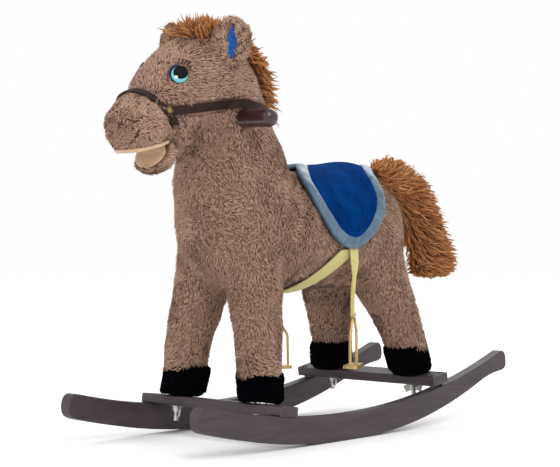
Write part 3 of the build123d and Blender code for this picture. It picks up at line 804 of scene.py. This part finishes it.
# %% Hooves
def hoof(name, foot, tilt):
    """A low cushion: the radius swells from the flat sole to the cuff and rolls in over the leg."""
    height = np.array([0, 0, 2, 7, 16, 27, 38, 44, 47])
    radius = np.array([8, 26, 30.5, 33, 34, 34, 34.5, 33, 27])
    a = np.linspace(0, 2 * np.pi, 48, endpoint=False)
    lean = math.radians(tilt)
    flat = np.array([[1, 0, 0], [0, math.cos(lean), math.sin(lean)]])
    ring = np.stack([np.cos(a), np.sin(a)], -1) @ flat
    axis = np.array([0, -math.sin(lean), math.cos(lean)])
    axis = axis + np.array([-0.17 * np.sign(foot[0]), 0.05 * np.sign(-foot[1]), 0])
    rings = np.array(foot) + height[:, None, None] * axis + radius[:, None, None] * ring
    cuff = shaped(name, rings)
    wear(cuff, hoof_finish)
    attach(cuff, "horse")

    def above_sole(where, facing):
        """Keeps the sole flat and bare."""
        return where[:, 2] > world(foot)[2] + 0.004

    seed = 61 + int(foot[0] + foot[1]) % 7
    curly(name + "_pile", cuff, 3000, seed, "horse", above_sole, 0.0034, hoof_finish, 0.0013)
    return cuff


for side_name, side in (("left", 1), ("right", -1)):
    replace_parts(hoof(f"hoof_plush_front_{side_name}", (side * 81, -178, 62), -6.3), f"hoof_front_{side_name}")
    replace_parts(hoof(f"hoof_plush_rear_{side_name}", (side * 84, 184, 82), 10.2), f"hoof_rear_{side_name}")
print("four hooves made")

# %% [markdown]
# Forelock, mane and tail are long synthetic fur: locks that leave the skin together, bend over and end
# in points. A lock is a flat four-sided strand carried along a curve, so a whole mane is one array.

# %% Locks of hair
def locks(name, paths, width, body, finish, seed):
    """Strands: at each station a diamond, wide across and half as thick, narrowing to a point."""
    chance = np.random.default_rng(seed)
    count, stations = paths.shape[:2]
    along = unit(np.gradient(paths, axis=1))
    side = unit(np.cross(along, np.array([0.3, 0.2, 1.0])))
    twist = chance.random((count, 1, 1)) * np.pi
    other = np.cross(along, side)
    side, other = side * np.cos(twist) + other * np.sin(twist), other * np.cos(twist) - side * np.sin(twist)
    t = np.linspace(0, 1, stations)[None, :, None]
    half = width * (0.6 + 0.8 * chance.random((count, 1, 1))) * (0.75 + 0.6 * t) * (1 - t**3)
    wide, thin = side * half, other * half * 0.5
    corners = [paths + wide, paths + thin, paths - wide, paths - thin]
    body_points = np.stack(corners, 2)[:, :-1].reshape(count, -1, 3)
    points = np.concatenate([body_points, paths[:, -1:]], 1)
    size = points.shape[1]
    quads = ring_faces(stations - 1, 4)
    last = (stations - 2) * 4
    ends = pole_faces(last, size - 1, 4)
    base = np.array([[3, 2, 1, 0]])
    start = (np.arange(count) * size)[:, None, None]
    faces = [(np.concatenate([quads, base]) + start).reshape(-1, 4), (ends + start).reshape(-1, 3)]
    # reach runs from 0.1 at the root to 1 at the tip: painted shade deep in the hair, a painted highlight at
    # the ends
    reach = np.tile(np.append(np.repeat(np.linspace(0.1, 0.9, stations - 1), 4), 1.0), count)
    tone = np.repeat(chance.random(count), size)
    piece = mesh_object(name, points.reshape(-1, 3), faces, True, {"reach": reach, "tone": tone})
    wear(piece, finish)
    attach(piece, body)
    return piece


def thrown(roots, aim, length, droop, curl, seed, stations=8):
    """Paths: root + aim * length * t, falling by droop * t squared, with a small swirl growing along."""
    chance = np.random.default_rng(seed)
    t = np.linspace(0, 1, stations)[None, :, None]
    path = roots[:, None, :] + unit(aim)[:, None, :] * length[:, None, None] * t
    path = path - np.array([0, 0, 1.0]) * droop[:, None, None] * t**2
    phase = chance.random((len(roots), 1, 3)) * 2 * np.pi
    return world(path + curl * t * np.sin(5 * t + phase))


print("a lock has 8 stations along its path")

# %% [markdown]
# The forelock stands up between the ears and the mane fans back from the crest of the neck. Each lock's
# aim is its place across the crest plus a random part, so neighbours part and cross as real hair does.

# %% Forelock and mane
chance = np.random.default_rng(71)
count = 1150
spread = chance.normal(size=(count, 2))
roots = np.stack([11 * spread[:, 0], -208 + 15 * spread[:, 1], 588 - 2 * spread[:, 0] ** 2], -1)
aim = np.stack([0.55 * spread[:, 0], 0.6 * spread[:, 1] - 0.12, 1.3 + 0.3 * chance.random(count)], -1)
aim = aim + 0.3 * chance.normal(size=(count, 3))
length = 34 + 20 * chance.random(count)
paths = thrown(roots, aim, length, 2 + 10 * chance.random(count), 2.5, 72)
forelock = locks("forelock_hair", paths, 0.0021, "horse", mane_finish, 73)
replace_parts(forelock, "forelock")

crest = smooth_path([(0, -190, 592), (0, -158, 580), (0, -136, 556), (0, -126, 524), (0, -120, 492)], 200)
count = 2300
spot = chance.integers(0, 200, count)
aside = chance.uniform(-1, 1, count)
roots = crest[spot] + np.stack([26 * aside, -8 * np.abs(aside), -6 * np.abs(aside)], -1)
up = 1 - spot / 200
aim = np.stack([0.8 * aside, 0.85 - 0.4 * up, 0.15 + 0.45 * up], -1) + 0.3 * chance.normal(size=(count, 3))
length = 24 + 18 * chance.random(count) + 5 * np.sin(np.pi * spot / 200)
paths = thrown(roots, aim, length, 8 + 14 * chance.random(count), 3.5, 74)
mane = locks("mane_hair", paths, 0.0023, "horse", mane_finish, 75)
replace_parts(mane, "mane")
print("hair points:", len(forelock.data.vertices), "in the forelock,", len(mane.data.vertices), "in the mane")

# %% [markdown]
# The tail is a stuffed core with long hair round it, turned from side to side by a shaft. The locks run
# along the core and stand away from it a little more towards their tips, which makes the tail bushy.

# %% Tail
TAIL = [(190, 402, 15), (230, 403, 24), (282, 376, 31), (322, 320, 33)]
TAIL += [(348, 268, 35), (353, 240, 33), (354, 228, 14)]
tail_line = smooth_path([(0, y, z, r, 0) for y, z, r in TAIL], 300)
core_radius = tail_line[::6, 3] * 0.55
core = shaped("tail_core", carried(tail_line[::6, :3], core_radius, core_radius, 24))
# With no stored reach the core takes the hair finish's dark root colour, painted shade deep inside the tail.
wear(core, mane_finish)
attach(core, "tail")
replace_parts(core, "tail_hair")
count = 2700
first = chance.integers(0, 262, count)
run = chance.integers(18, 44, count)
t = np.linspace(0, 1, 8)[None, :]
step = np.clip(first[:, None] + (run[:, None] * t).astype(int), 0, 299)
turn = chance.random((count, 1)) * 2 * np.pi + 0.5 * np.sin(3 * t)
axis, tail_side, tail_up = path_axes(tail_line[:, :3])
stand = tail_line[step, 3] * (0.38 + (0.42 + 0.58 * chance.random((count, 1))) * t)
spoke = tail_side[step] * np.cos(turn)[..., None] + tail_up[step] * np.sin(turn)[..., None]
paths = tail_line[step, :3] + stand[..., None] * spoke
paths = paths + 2.5 * t[..., None] * np.sin(7 * t[..., None] + chance.random((count, 1, 3)) * 6)
tail = locks("tail_locks", world(paths), 0.0026, "tail", mane_finish, 76)
print("hair points in the tail:", len(tail.data.vertices))

# %% [markdown]
# The saddle is a padded blanket of blue velour that lies over the back and hangs to a rounded hem on
# each side, with a wide satin binding. It is worked out as unrolled: an angle over the back, and a share
# of the way from its front edge to its rear edge.

# %% Velour and satin
velour_finish = Finish(
    "blue velour", Roughness=0.95, Sheen_Weight=0.04, Sheen_Roughness=0.5,
    Sheen_Tint=colour(0.1, 0.35, 1.0), Specular_IOR_Level=0.01)
crush = velour_finish.noise(0.03, 5.0, 0.6, 0.6)
nap = velour_finish.noise(0.0016, 3.0, 0.8)
blue_shade = crush * 0.7 + nap * 0.3
velour_finish.tint(blue_shade, 0.3, colour(0.0002, 0.011, 0.062), 0.72, colour(0.001, 0.04, 0.185))
velour_finish.relief(crush * 0.8 + nap * 0.2, 0.002, 0.5)

satin_finish = Finish("satin binding", Roughness=0.42, Specular_IOR_Level=0.35)
pull = satin_finish.noise(0.014, 3.0, 0.55, 0.8)
satin_finish.tint(pull, 0.3, colour(0.045, 0.085, 0.13), 0.72, colour(0.105, 0.165, 0.225))
satin_finish.relief(pull, 0.0022, 0.7)
print("saddle finishes:", velour_finish.material.name, satin_finish.material.name)

# %% [markdown]
# The blanket starts as a grid on a cylinder round the back. A Shrinkwrap moves it off the skin, a few
# rounds of averaging take out its kinks, and padding is added outward, thickest in the seat.

# %% Saddle blanket
BACK_RADIUS = 97

over = 105 * np.sin(np.linspace(-np.pi / 2, np.pi / 2, 161))
front_edge = np.interp(np.abs(over), *saddle_front.T)
rear_edge = np.interp(np.abs(over), *saddle_rear.T)
smoothing = np.array([1, 2, 3, 2, 1]) / 9
front_edge[2:-2] = np.convolve(front_edge, smoothing, "valid")
rear_edge[2:-2] = np.convolve(rear_edge, smoothing, "valid")
share = np.linspace(0, 1, 57)
along_y = front_edge[:, None] + (rear_edge - front_edge)[:, None] * share
theta = np.radians(over)[:, None] + 0 * along_y


def round_back(angle, y, radius):
    """Points on a cylinder round the back: an angle from the top, and a place along it."""
    return np.stack([np.sin(angle) * radius, y, TRUNK_Z + np.cos(angle) * radius], -1)


def padded_seat(angle, y):
    """Extra padding in mm: a bell curve along the back times one over it."""
    return 7 * np.exp(-((y - 95) / 40) ** 2) * np.exp(-(np.degrees(angle) / 40) ** 2)


def clear_of_skin(grid, gap):
    """Pushes a grid of points out of the skin with a Shrinkwrap, keeping those that are outside already."""
    rows, columns = grid.shape[:2]
    sheet = mesh_object("fitting", world(grid.reshape(-1, 3)), [ring_faces(rows, columns, False)])
    wrap = sheet.modifiers.new("wrap", "SHRINKWRAP")
    wrap.target, wrap.wrap_mode, wrap.offset = skin, "OUTSIDE", gap
    points = drawing(coordinates(settled(sheet).data))
    bpy.data.objects.remove(sheet)
    return points.reshape(rows, columns, 3)


def shell(name, low, high):
    """A closed sheet: the outer grid, the inner grid turned over, and strips joining their edges."""
    rows, columns = low.shape[:2]
    quads = ring_faces(rows, columns, False)
    edge = np.concatenate([
        np.arange(columns), np.arange(1, rows) * columns + columns - 1,
        (rows - 1) * columns + np.arange(columns - 2, -1, -1), np.arange(rows - 2, 0, -1) * columns])
    after = np.roll(edge, -1)
    size = rows * columns
    strip = np.stack([edge, after, after + size, edge + size], -1)
    points = world(np.concatenate([low.reshape(-1, 3), high.reshape(-1, 3)]))
    faces = np.concatenate([quads[:, ::-1], quads + size, strip])
    if volume_of(points - points.mean(0), faces) < 0:
        faces = faces[:, ::-1]
    return mesh_object(name, points, [faces])


def averaged(grid, rounds):
    """Each inner point moves to the mean of itself and its four neighbours."""
    for _ in range(rounds):
        middle = grid[1:-1, 1:-1]
        mean = (grid[:-2, 1:-1] + grid[2:, 1:-1] + grid[1:-1, :-2] + grid[1:-1, 2:] + middle) / 5
        grid = grid.copy()
        grid[1:-1, 1:-1] = mean
    return grid


cloth_low = averaged(clear_of_skin(round_back(theta, along_y, BACK_RADIUS), 0.002), 3)
outward = unit(cloth_low - round_back(theta, along_y, 0))
edge_fall = 1 - np.abs(2 * share - 1) ** 5
wrinkle = waves(world(cloth_low).reshape(-1, 3), 0.022, 81)[:, 0].reshape(theta.shape)
padding = 3.2 + 2.6 * edge_fall + padded_seat(theta, along_y) + 0.7 * wrinkle * edge_fall
cloth_high = cloth_low + outward * padding[..., None]
blanket = shell("saddle_blanket_velour", cloth_low, cloth_high)
wear(blanket, velour_finish)
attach(blanket, "horse")
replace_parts(blanket, "saddle_blanket")
print("blanket", [round(float(v)) for v in np.ptp(cloth_high.reshape(-1, 3), axis=0)], "mm")

# %% [markdown]
# The binding is a satin band folded over the blanket's edge. Cut from the same grid it would have jagged
# corners, so it follows a closed line of its own, offset inward, with the small puckers of a sewn bias.

# %% Saddle binding
def outline_of_saddle(count):
    """The edge as a closed line: along the front edge and back along the rear one, evenly spaced."""
    front = np.stack([over, front_edge], -1)
    rear = np.stack([over, rear_edge], -1)[::-1]
    line = np.concatenate([front, rear, front[:1]]) * [np.pi / 180 * BACK_RADIUS, 1]
    gone = np.append(0, np.cumsum(np.linalg.norm(np.diff(line, axis=0), axis=1)))
    even = np.linspace(0, gone[-1], count, endpoint=False)
    line = np.stack([np.interp(even, gone, line[:, k]) for k in range(2)], -1)
    for _ in range(6):
        line = (np.roll(line, 1, 0) + 2 * line + np.roll(line, -1, 0)) / 4
    return line


BAND_WIDTH = 17
edge_line = outline_of_saddle(420)
edge_way = unit(np.roll(edge_line, -1, 0) - np.roll(edge_line, 1, 0))
edge_in = np.stack([-edge_way[:, 1], edge_way[:, 0]], -1)
band_share = np.linspace(-0.05, 1, 15)
flat = edge_line[:, None, :] + edge_in[:, None, :] * (BAND_WIDTH * band_share)[None, :, None]
flat = np.concatenate([flat, flat[:1]])
band_theta, band_y = flat[..., 0] / BACK_RADIUS, flat[..., 1]
band_low = clear_of_skin(round_back(band_theta, band_y, BACK_RADIUS), 0.002)
band_out = unit(band_low - round_back(band_theta, band_y, 0))
round_over = np.sin(np.pi * np.clip(band_share * 0.9 + 0.1, 0, 1)) ** 0.5
pucker = 0.4 * np.sin(np.arange(len(flat)) / 2.3)[:, None] * round_over
band_height = 5.2 + padded_seat(band_theta, band_y) + 2.6 * round_over + pucker
band = shell("saddle_binding_satin", band_low - band_out * 0.4, band_low + band_out * band_height[..., None])
wear(band, satin_finish)
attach(band, "horse")
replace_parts(band, "saddle_binding")
print("binding line of", round(float(np.linalg.norm(np.diff(edge_line, axis=0), axis=1).sum())), "mm")

# %% [markdown]
# The eyes are embroidered: flat patches of satin stitch sewn over the pile. Each patch is a low dome laid
# on the cheek, so the threads stand a little proud. They are drawn in the plane of the eye.

# %% Embroidered eyes
def thread_finish(name, shade, angle):
    """Satin stitch: fine parallel threads across the patch, glossy along them; their stripes are painted,
    darker between the threads as shade in the grooves.
    """
    finish = Finish(name, Base_Color=shade, Roughness=0.6, Specular_IOR_Level=0.12)
    where = finish.place((1, 1, 1), (0, 0, math.radians(angle)))
    settings = {"wave_type": "BANDS", "bands_direction": "Z"}
    threads = finish.node("ShaderNodeTexWave", settings, {"Vector": where, "Scale": 420.0, "Distortion": 1.5})
    # the thread colour is painted darker in the bands between threads, as shade in the grooves
    dark = tuple(0.55 * v for v in shade[:3]) + (1.0,)
    finish.feed("Base Color", finish.blend(threads, dark, shade))
    finish.relief(threads, 0.0004, 0.6)
    return finish


threads = {
    "black": thread_finish("black thread", colour(0.004, 0.005, 0.009), 20),
    "outline": thread_finish("dark green thread", colour(0.008, 0.03, 0.03), 35),
    "turquoise": thread_finish("turquoise thread", colour(0.18, 0.60, 0.66), 50),
    "white": thread_finish("white thread", colour(0.85, 0.85, 0.85), 0),
    "plum": thread_finish("plum thread", colour(0.10, 0.035, 0.13), 60),
}
eye_out = unit(np.array([0.75, -0.31, 0.585]))
eye_across = unit(np.cross([0, 0, 1.0], eye_out))
eye_up = np.cross(eye_out, eye_across)


def eye_place(a, b, lift):
    """A point a mm across and b mm up the eye's plane, set on the cheek's curve and lifted off it."""
    return eye_centre + a[..., None] * eye_across + b[..., None] * eye_up + lift[..., None] * eye_out


def on_cheek(rings, lift, side):
    """Lays rings on the skin by a Shrinkwrap, then gives each point its own lift."""
    flat = rings.reshape(-1, 3) * np.array([side, 1, 1])
    patch = mesh_object("fitting", world(flat), [ring_faces(*rings.shape[:2])])
    wrap = patch.modifiers.new("wrap", "SHRINKWRAP")
    wrap.target, wrap.wrap_mode, wrap.offset = skin, "ABOVE_SURFACE", 0.002
    points = drawing(coordinates(settled(patch).data)).reshape(rings.shape)
    bpy.data.objects.remove(patch)
    return points + lift[..., None] * eye_out * np.array([side, 1, 1])


def patch(name, side, centre, radii, level):
    """A dome: rings of an ellipse, lifted by level and by a shallow arch, closed underneath."""
    share_out = np.concatenate([np.linspace(0.04, 1, 9), np.linspace(1, 0.04, 5)])[:, None]
    a = np.linspace(0, 2 * np.pi, 44, endpoint=False)
    x = centre[0] + radii[0] * share_out * np.cos(a)
    y = centre[1] + radii[1] * share_out * np.sin(a)
    under = (np.arange(14) >= 9)[:, None] + 0 * a
    lift = np.where(under, 0.0, level + 0.5 * np.sqrt(np.clip(1 - share_out**2, 0, 1)) + 0 * a)
    return shaped(name, on_cheek(eye_place(x, y, 0 * x), lift, side))


def stroke(name, side, line, width, level):
    """A stitched stroke: a thin flat tube along a line on the cheek, pointed at its end."""
    path = smooth_path([(a, b, 0) for a, b in line], 16)
    along = unit(np.gradient(path, axis=0))
    normal = np.stack([-along[:, 1], along[:, 0]], -1)
    t = np.linspace(0, 1, 16)
    half = width / 2 * np.sin(np.pi * (0.12 + 0.84 * t)) ** 0.7
    a = np.linspace(0, 2 * np.pi, 10, endpoint=False)
    spot_a = path[:, :1] + normal[:, :1] * half[:, None] * np.cos(a)
    spot_b = path[:, 1:2] + normal[:, 1:2] * half[:, None] * np.cos(a)
    lift = level + 0.6 * np.sin(a) + 0 * spot_a
    return shaped(name, on_cheek(eye_place(spot_a, spot_b, 0 * spot_a), lift, side))


LASHES = [
    [(0, 16), (4, 24.5)], [(5, 16), (10, 22.5)], [(9, 14.5), (16.5, 21.5)],
    [(12, 11.5), (21, 18.5)], [(13.5, 7), (20, 10.5)], [(13.5, 3), (18.5, 4)]]
LID = [(-23, -11), (-19.5, 3), (-11, 13.5), (1, 18.5)]


def eye(side_name, side):
    """All patches of one eye, the lowest first."""
    made = [
        (patch(f"eye_outline_{side_name}", side, (-1.6, 0.2), (15.0, 15.6), 1.5), "outline"),
        (patch(f"eye_ring_{side_name}", side, (-0.9, -1.6), (13.4, 14.2), 2.0), "turquoise"),
        (patch(f"eye_pupil_{side_name}", side, (1.6, 1.6), (11.8, 11.6), 2.5), "black"),
        (patch(f"eye_light_{side_name}", side, (-7.4, -6.4), (3.0, 3.0), 3.0), "white"),
        (stroke(f"eye_lid_{side_name}", side, LID, 3.0, 3.0), "plum"),
    ]
    for number, line in enumerate(LASHES):
        made.append((stroke(f"lash_{number + 1}_{side_name}", side, line, 1.8, 4.0), "black"))
    for piece, thread in made:
        wear(piece, threads[thread])
        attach(piece, "horse")
    return made[0][0]


first_eye = eye("left", 1)
eye("right", -1)
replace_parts(first_eye, "eyes")
print("each eye has", 5 + len(LASHES), "embroidered patches")

# %% [markdown]
# The straps that carry the stirrups start as a folded webbing at the hem, narrow to a twisted ribbon and
# end in a knot round the iron.

# %% Webbing and stirrup straps
webbing_finish = Finish("pale webbing", Roughness=0.75, Sheen_Weight=0.15, Specular_IOR_Level=0.25)
rib_inputs = {"Vector": webbing_finish.place(), "Scale": 260.0, "Distortion": 0.6}
rib = webbing_finish.node("ShaderNodeTexWave", {"bands_direction": "Z"}, rib_inputs)
thread_noise = webbing_finish.noise(0.004, 3.0, 0.7)
webbing_shade = thread_noise * 0.6 + rib * 0.4
webbing_finish.tint(webbing_shade, 0.2, colour(0.42, 0.36, 0.11), 0.8, colour(0.68, 0.62, 0.28))
webbing_finish.relief(rib, 0.0005, 0.7)


def ribbon_strap(name, x, y, top, eye, body):
    """A flat section carried down a line: its half width, thickness and turn follow the height."""
    drop = np.array([0, 0.1, 0.22, 0.36, 0.5, 0.65, 0.8, 0.9, 1.0])
    start, end = top + 14, eye + 2
    hang = [x + 0.8 * np.sin(drop * 7), y + 2.2 * np.sin(drop * 5), start + (end - start) * drop]
    line = smooth_path(np.stack(hang, -1), 60)
    t = np.linspace(0, 1, 60)
    half = np.interp(t, [0, 0.25, 0.42, 0.9, 1], [9.5, 8.5, 3.6, 3.2, 3.4])
    thick = np.interp(t, [0, 0.3, 0.5, 1], [1.6, 2.4, 1.5, 1.4])
    turn = np.interp(t, [0, 0.3, 0.7, 1], [1.57, 1.45, 0.5, 0.9])[:, None, None]
    a = np.linspace(0, 2 * np.pi, 24, endpoint=False)[None, :, None]
    wide = np.array([1.0, 0, 0]) * np.cos(turn) + np.array([0, 1.0, 0]) * np.sin(turn)
    deep = np.array([0, 1.0, 0]) * np.cos(turn) - np.array([1.0, 0, 0]) * np.sin(turn)
    flat = np.sign(np.cos(a)) * np.abs(np.cos(a)) ** 0.5
    fold = 0.25 * np.sin(a * 3) * np.clip(1 - t * 2.4, 0, 1)[:, None, None]
    breadth, depth = half[:, None, None] * flat, thick[:, None, None] * (np.sin(a) + fold)
    strap = shaped(name, line[:, None, :] + wide * breadth + deep * depth)
    wound = np.linspace(0, 4 * np.pi, 60)
    rise = end + 2 + 4.5 * wound / (4 * np.pi) + np.sin(wound * 1.5)
    coil = np.stack([x + 3.2 * np.cos(wound), y + 3.4 * np.sin(wound), rise], -1)
    coil = np.concatenate([coil, [[x, y, end - 1]]])
    knot = shaped(name + "_knot", carried(coil, np.full(61, 1.7), np.full(61, 1.7), 12))
    for piece in (strap, knot):
        wear(piece, webbing_finish)
        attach(piece, body)
    return strap


STRAPS = (("left", 94.8, 21, 273, 178), ("right", -95.5, 55, 280, 162))
for side_name, x, y, top, eye_z in STRAPS:
    strap = ribbon_strap(f"strap_ribbon_{side_name}", x, y, top, eye_z, f"stirrup_strap_{side_name}")
    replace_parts(strap, f"stirrup_strap_{side_name}")
print("stirrup straps made")

# %% [markdown]
# Wood, steel, brass and plastic parts come from the frame with their true shapes. Each gets a finish for
# its material slot: stained wood with a grain along each board, brushed or plated metal, leather.

# %% Finishes for the frame's own parts
def wood_finish(name, dark, light, roughness, stretch, coat=0.0):
    """Stained wood: noise stretched along the grain, with finer pores in the same direction."""
    finish = Finish(name, Coat_Weight=coat, Coat_Roughness=0.12, Specular_IOR_Level=0.4)
    where = finish.place(stretch)
    grain = finish.noise(0.012, 6.0, 0.65, 0.8, where)
    pores = finish.noise(0.0022, 4.0, 0.7, 0.2, where)
    shade = grain * 0.65 + pores * 0.35
    finish.tint(shade, 0.3, dark, 0.72, light)
    finish.feed("Roughness", pores * 0.2 + roughness)
    finish.relief(pores, 0.0006, 0.5)
    return finish


def metal_finish(name, shade, roughness, size=0.004):
    """Metal with faint cloudiness in its shine and light scratches."""
    finish = Finish(name, Base_Color=shade, Metallic=1.0)
    cloud = finish.noise(size, 5.0, 0.6)
    finish.feed("Roughness", cloud * 0.25 + roughness)
    finish.feed("Base Color", finish.blend(cloud, tuple(0.8 * v for v in shade[:3]) + (1.0,), shade))
    finish.relief(finish.noise(size / 4, 3.0, 0.6), 0.0002, 0.4)
    return finish


def moulded_finish(name, shade, roughness):
    """Moulded plastic with a fine grain."""
    finish = Finish(name, Base_Color=shade, Specular_IOR_Level=0.4)
    grain = finish.noise(0.0008, 2.0, 0.5)
    finish.feed("Roughness", grain * 0.15 + roughness)
    finish.relief(grain, 0.0002, 0.5)
    return finish


leather_finish = Finish("brown leather", Roughness=0.6, Specular_IOR_Level=0.15)
pebble_inputs = {"Vector": leather_finish.place(), "Scale": 700.0}
pebble = leather_finish.node("ShaderNodeTexVoronoi", {"feature": "F1"}, pebble_inputs)
wornness = leather_finish.noise(0.015, 4.0, 0.6)
leather_shade = wornness * 0.75 + pebble * 0.25
leather_finish.tint(leather_shade, 0.25, colour(0.008, 0.004, 0.003), 0.8, colour(0.035, 0.017, 0.012))
leather_finish.relief(pebble, 0.0004, 0.6)

GRAIN_ALONG_Y, GRAIN_ALONG_X = (1, 0.12, 1), (0.12, 1, 1)
dark_stain, light_stain = colour(0.020, 0.013, 0.016), colour(0.062, 0.042, 0.048)
dark_lacquer, light_lacquer = colour(0.006, 0.003, 0.004), colour(0.05, 0.013, 0.013)
slot_finish = {
    "plush": pile_finish, "filling": pile_finish, "hair": mane_finish, "hoof_plush": hoof_finish,
    "rocker_wood": wood_finish("stained rocker wood", dark_stain, light_stain, 0.4, GRAIN_ALONG_Y),
    "bar_wood": wood_finish("stained bar wood", dark_stain, light_stain, 0.4, GRAIN_ALONG_X),
    "handle_wood": wood_finish("lacquered wood", dark_lacquer, light_lacquer, 0.22, GRAIN_ALONG_X, 0.4),
    "frame_steel": metal_finish("drawn steel", colour(0.45, 0.45, 0.46), 0.3),
    "zinc_steel": metal_finish("zinc plated steel", colour(0.62, 0.62, 0.60), 0.22),
    "black_steel": metal_finish("dark wire", colour(0.16, 0.155, 0.15), 0.32),
    "felt": felt_finish, "blue_felt": blue_felt_finish, "embroidery": threads["black"],
    "leather": leather_finish,
    "brass": metal_finish("brass", colour(0.60, 0.42, 0.15), 0.25),
    "blue_velour": velour_finish, "binding": satin_finish, "webbing": webbing_finish,
    "cell_steel": metal_finish("cell sleeve", colour(0.35, 0.36, 0.40), 0.25),
    "black_plastic": moulded_finish("black plastic", colour(0.015, 0.015, 0.016), 0.4),
}
record = frame["record"]
slot_of_node = {part["node"]: part["material_slot"] for part in record["subparts"]}
for node_name, node in frame["nodes"].items():
    slot_name = slot_of_node[node_name]
    if node_name.startswith("crossbar"):
        slot_name = "bar_wood"
    wear(node, slot_finish[slot_name])
print(len(slot_of_node), "nodes dressed in", len(set(slot_of_node.values())), "finishes")

# %% [markdown]
# A pale floor, soft studio light from above and both sides, and a camera low on the horse's left front.

# %% Floor, light and camera
floor_finish = Finish("pale floor", Base_Color=colour(0.985, 0.985, 0.985), Roughness=0.7)
floor_noise = floor_finish.noise(0.3, 2.0, 0.5)
floor_finish.feed("Roughness", floor_noise * 0.1 + 0.65)
span = np.linspace(-40, 40, 13)
flat_x, flat_y = np.meshgrid(span, span, indexing="ij")
ground = np.stack([flat_x, flat_y, 0 * flat_x], -1).reshape(-1, 3)
floor = mesh_object("floor", ground, [ring_faces(13, 13, False)], False)
wear(floor, floor_finish)


def softbox(name, place, aim, size, power):
    """A square area light aimed at a point."""
    light = bpy.data.lights.new(name, "AREA")
    light.shape, light.size, light.energy = "SQUARE", size, power
    lamp = bpy.data.objects.new(name, light)
    bpy.context.scene.collection.objects.link(lamp)
    lamp.location = place
    lamp.rotation_euler = (Vector(aim) - Vector(place)).to_track_quat("-Z", "Y").to_euler()


softbox("key", (2.4, -1.6, 2.6), (0, 0, 0.35), 1.8, 55)
softbox("fill", (-1.6, -2.8, 1.6), (0, 0, 0.35), 2.2, 18)
softbox("rim", (-1.0, 2.6, 2.2), (0, 0, 0.4), 1.6, 28)
world_light = bpy.data.worlds.new("studio")
world_light.use_nodes = True
background = next(n for n in world_light.node_tree.nodes if n.type == "BACKGROUND")
background.inputs["Color"].default_value = colour(1.0, 1.0, 1.0)
background.inputs["Strength"].default_value = 1.0
bpy.context.scene.world = world_light

lens = bpy.data.cameras.new("camera")
lens.lens, lens.sensor_width = 114.8, 36
camera = bpy.data.objects.new("camera", lens)
bpy.context.scene.collection.objects.link(camera)
camera.location = (1.8254, -2.1161, 0.3574)
aim = Vector((0.374136, -0.463191, 0.318137))
camera.rotation_euler = (aim - camera.location).to_track_quat("-Z", "Y").to_euler()
bpy.context.scene.camera = camera
bpy.context.scene.view_settings.view_transform = "Standard"

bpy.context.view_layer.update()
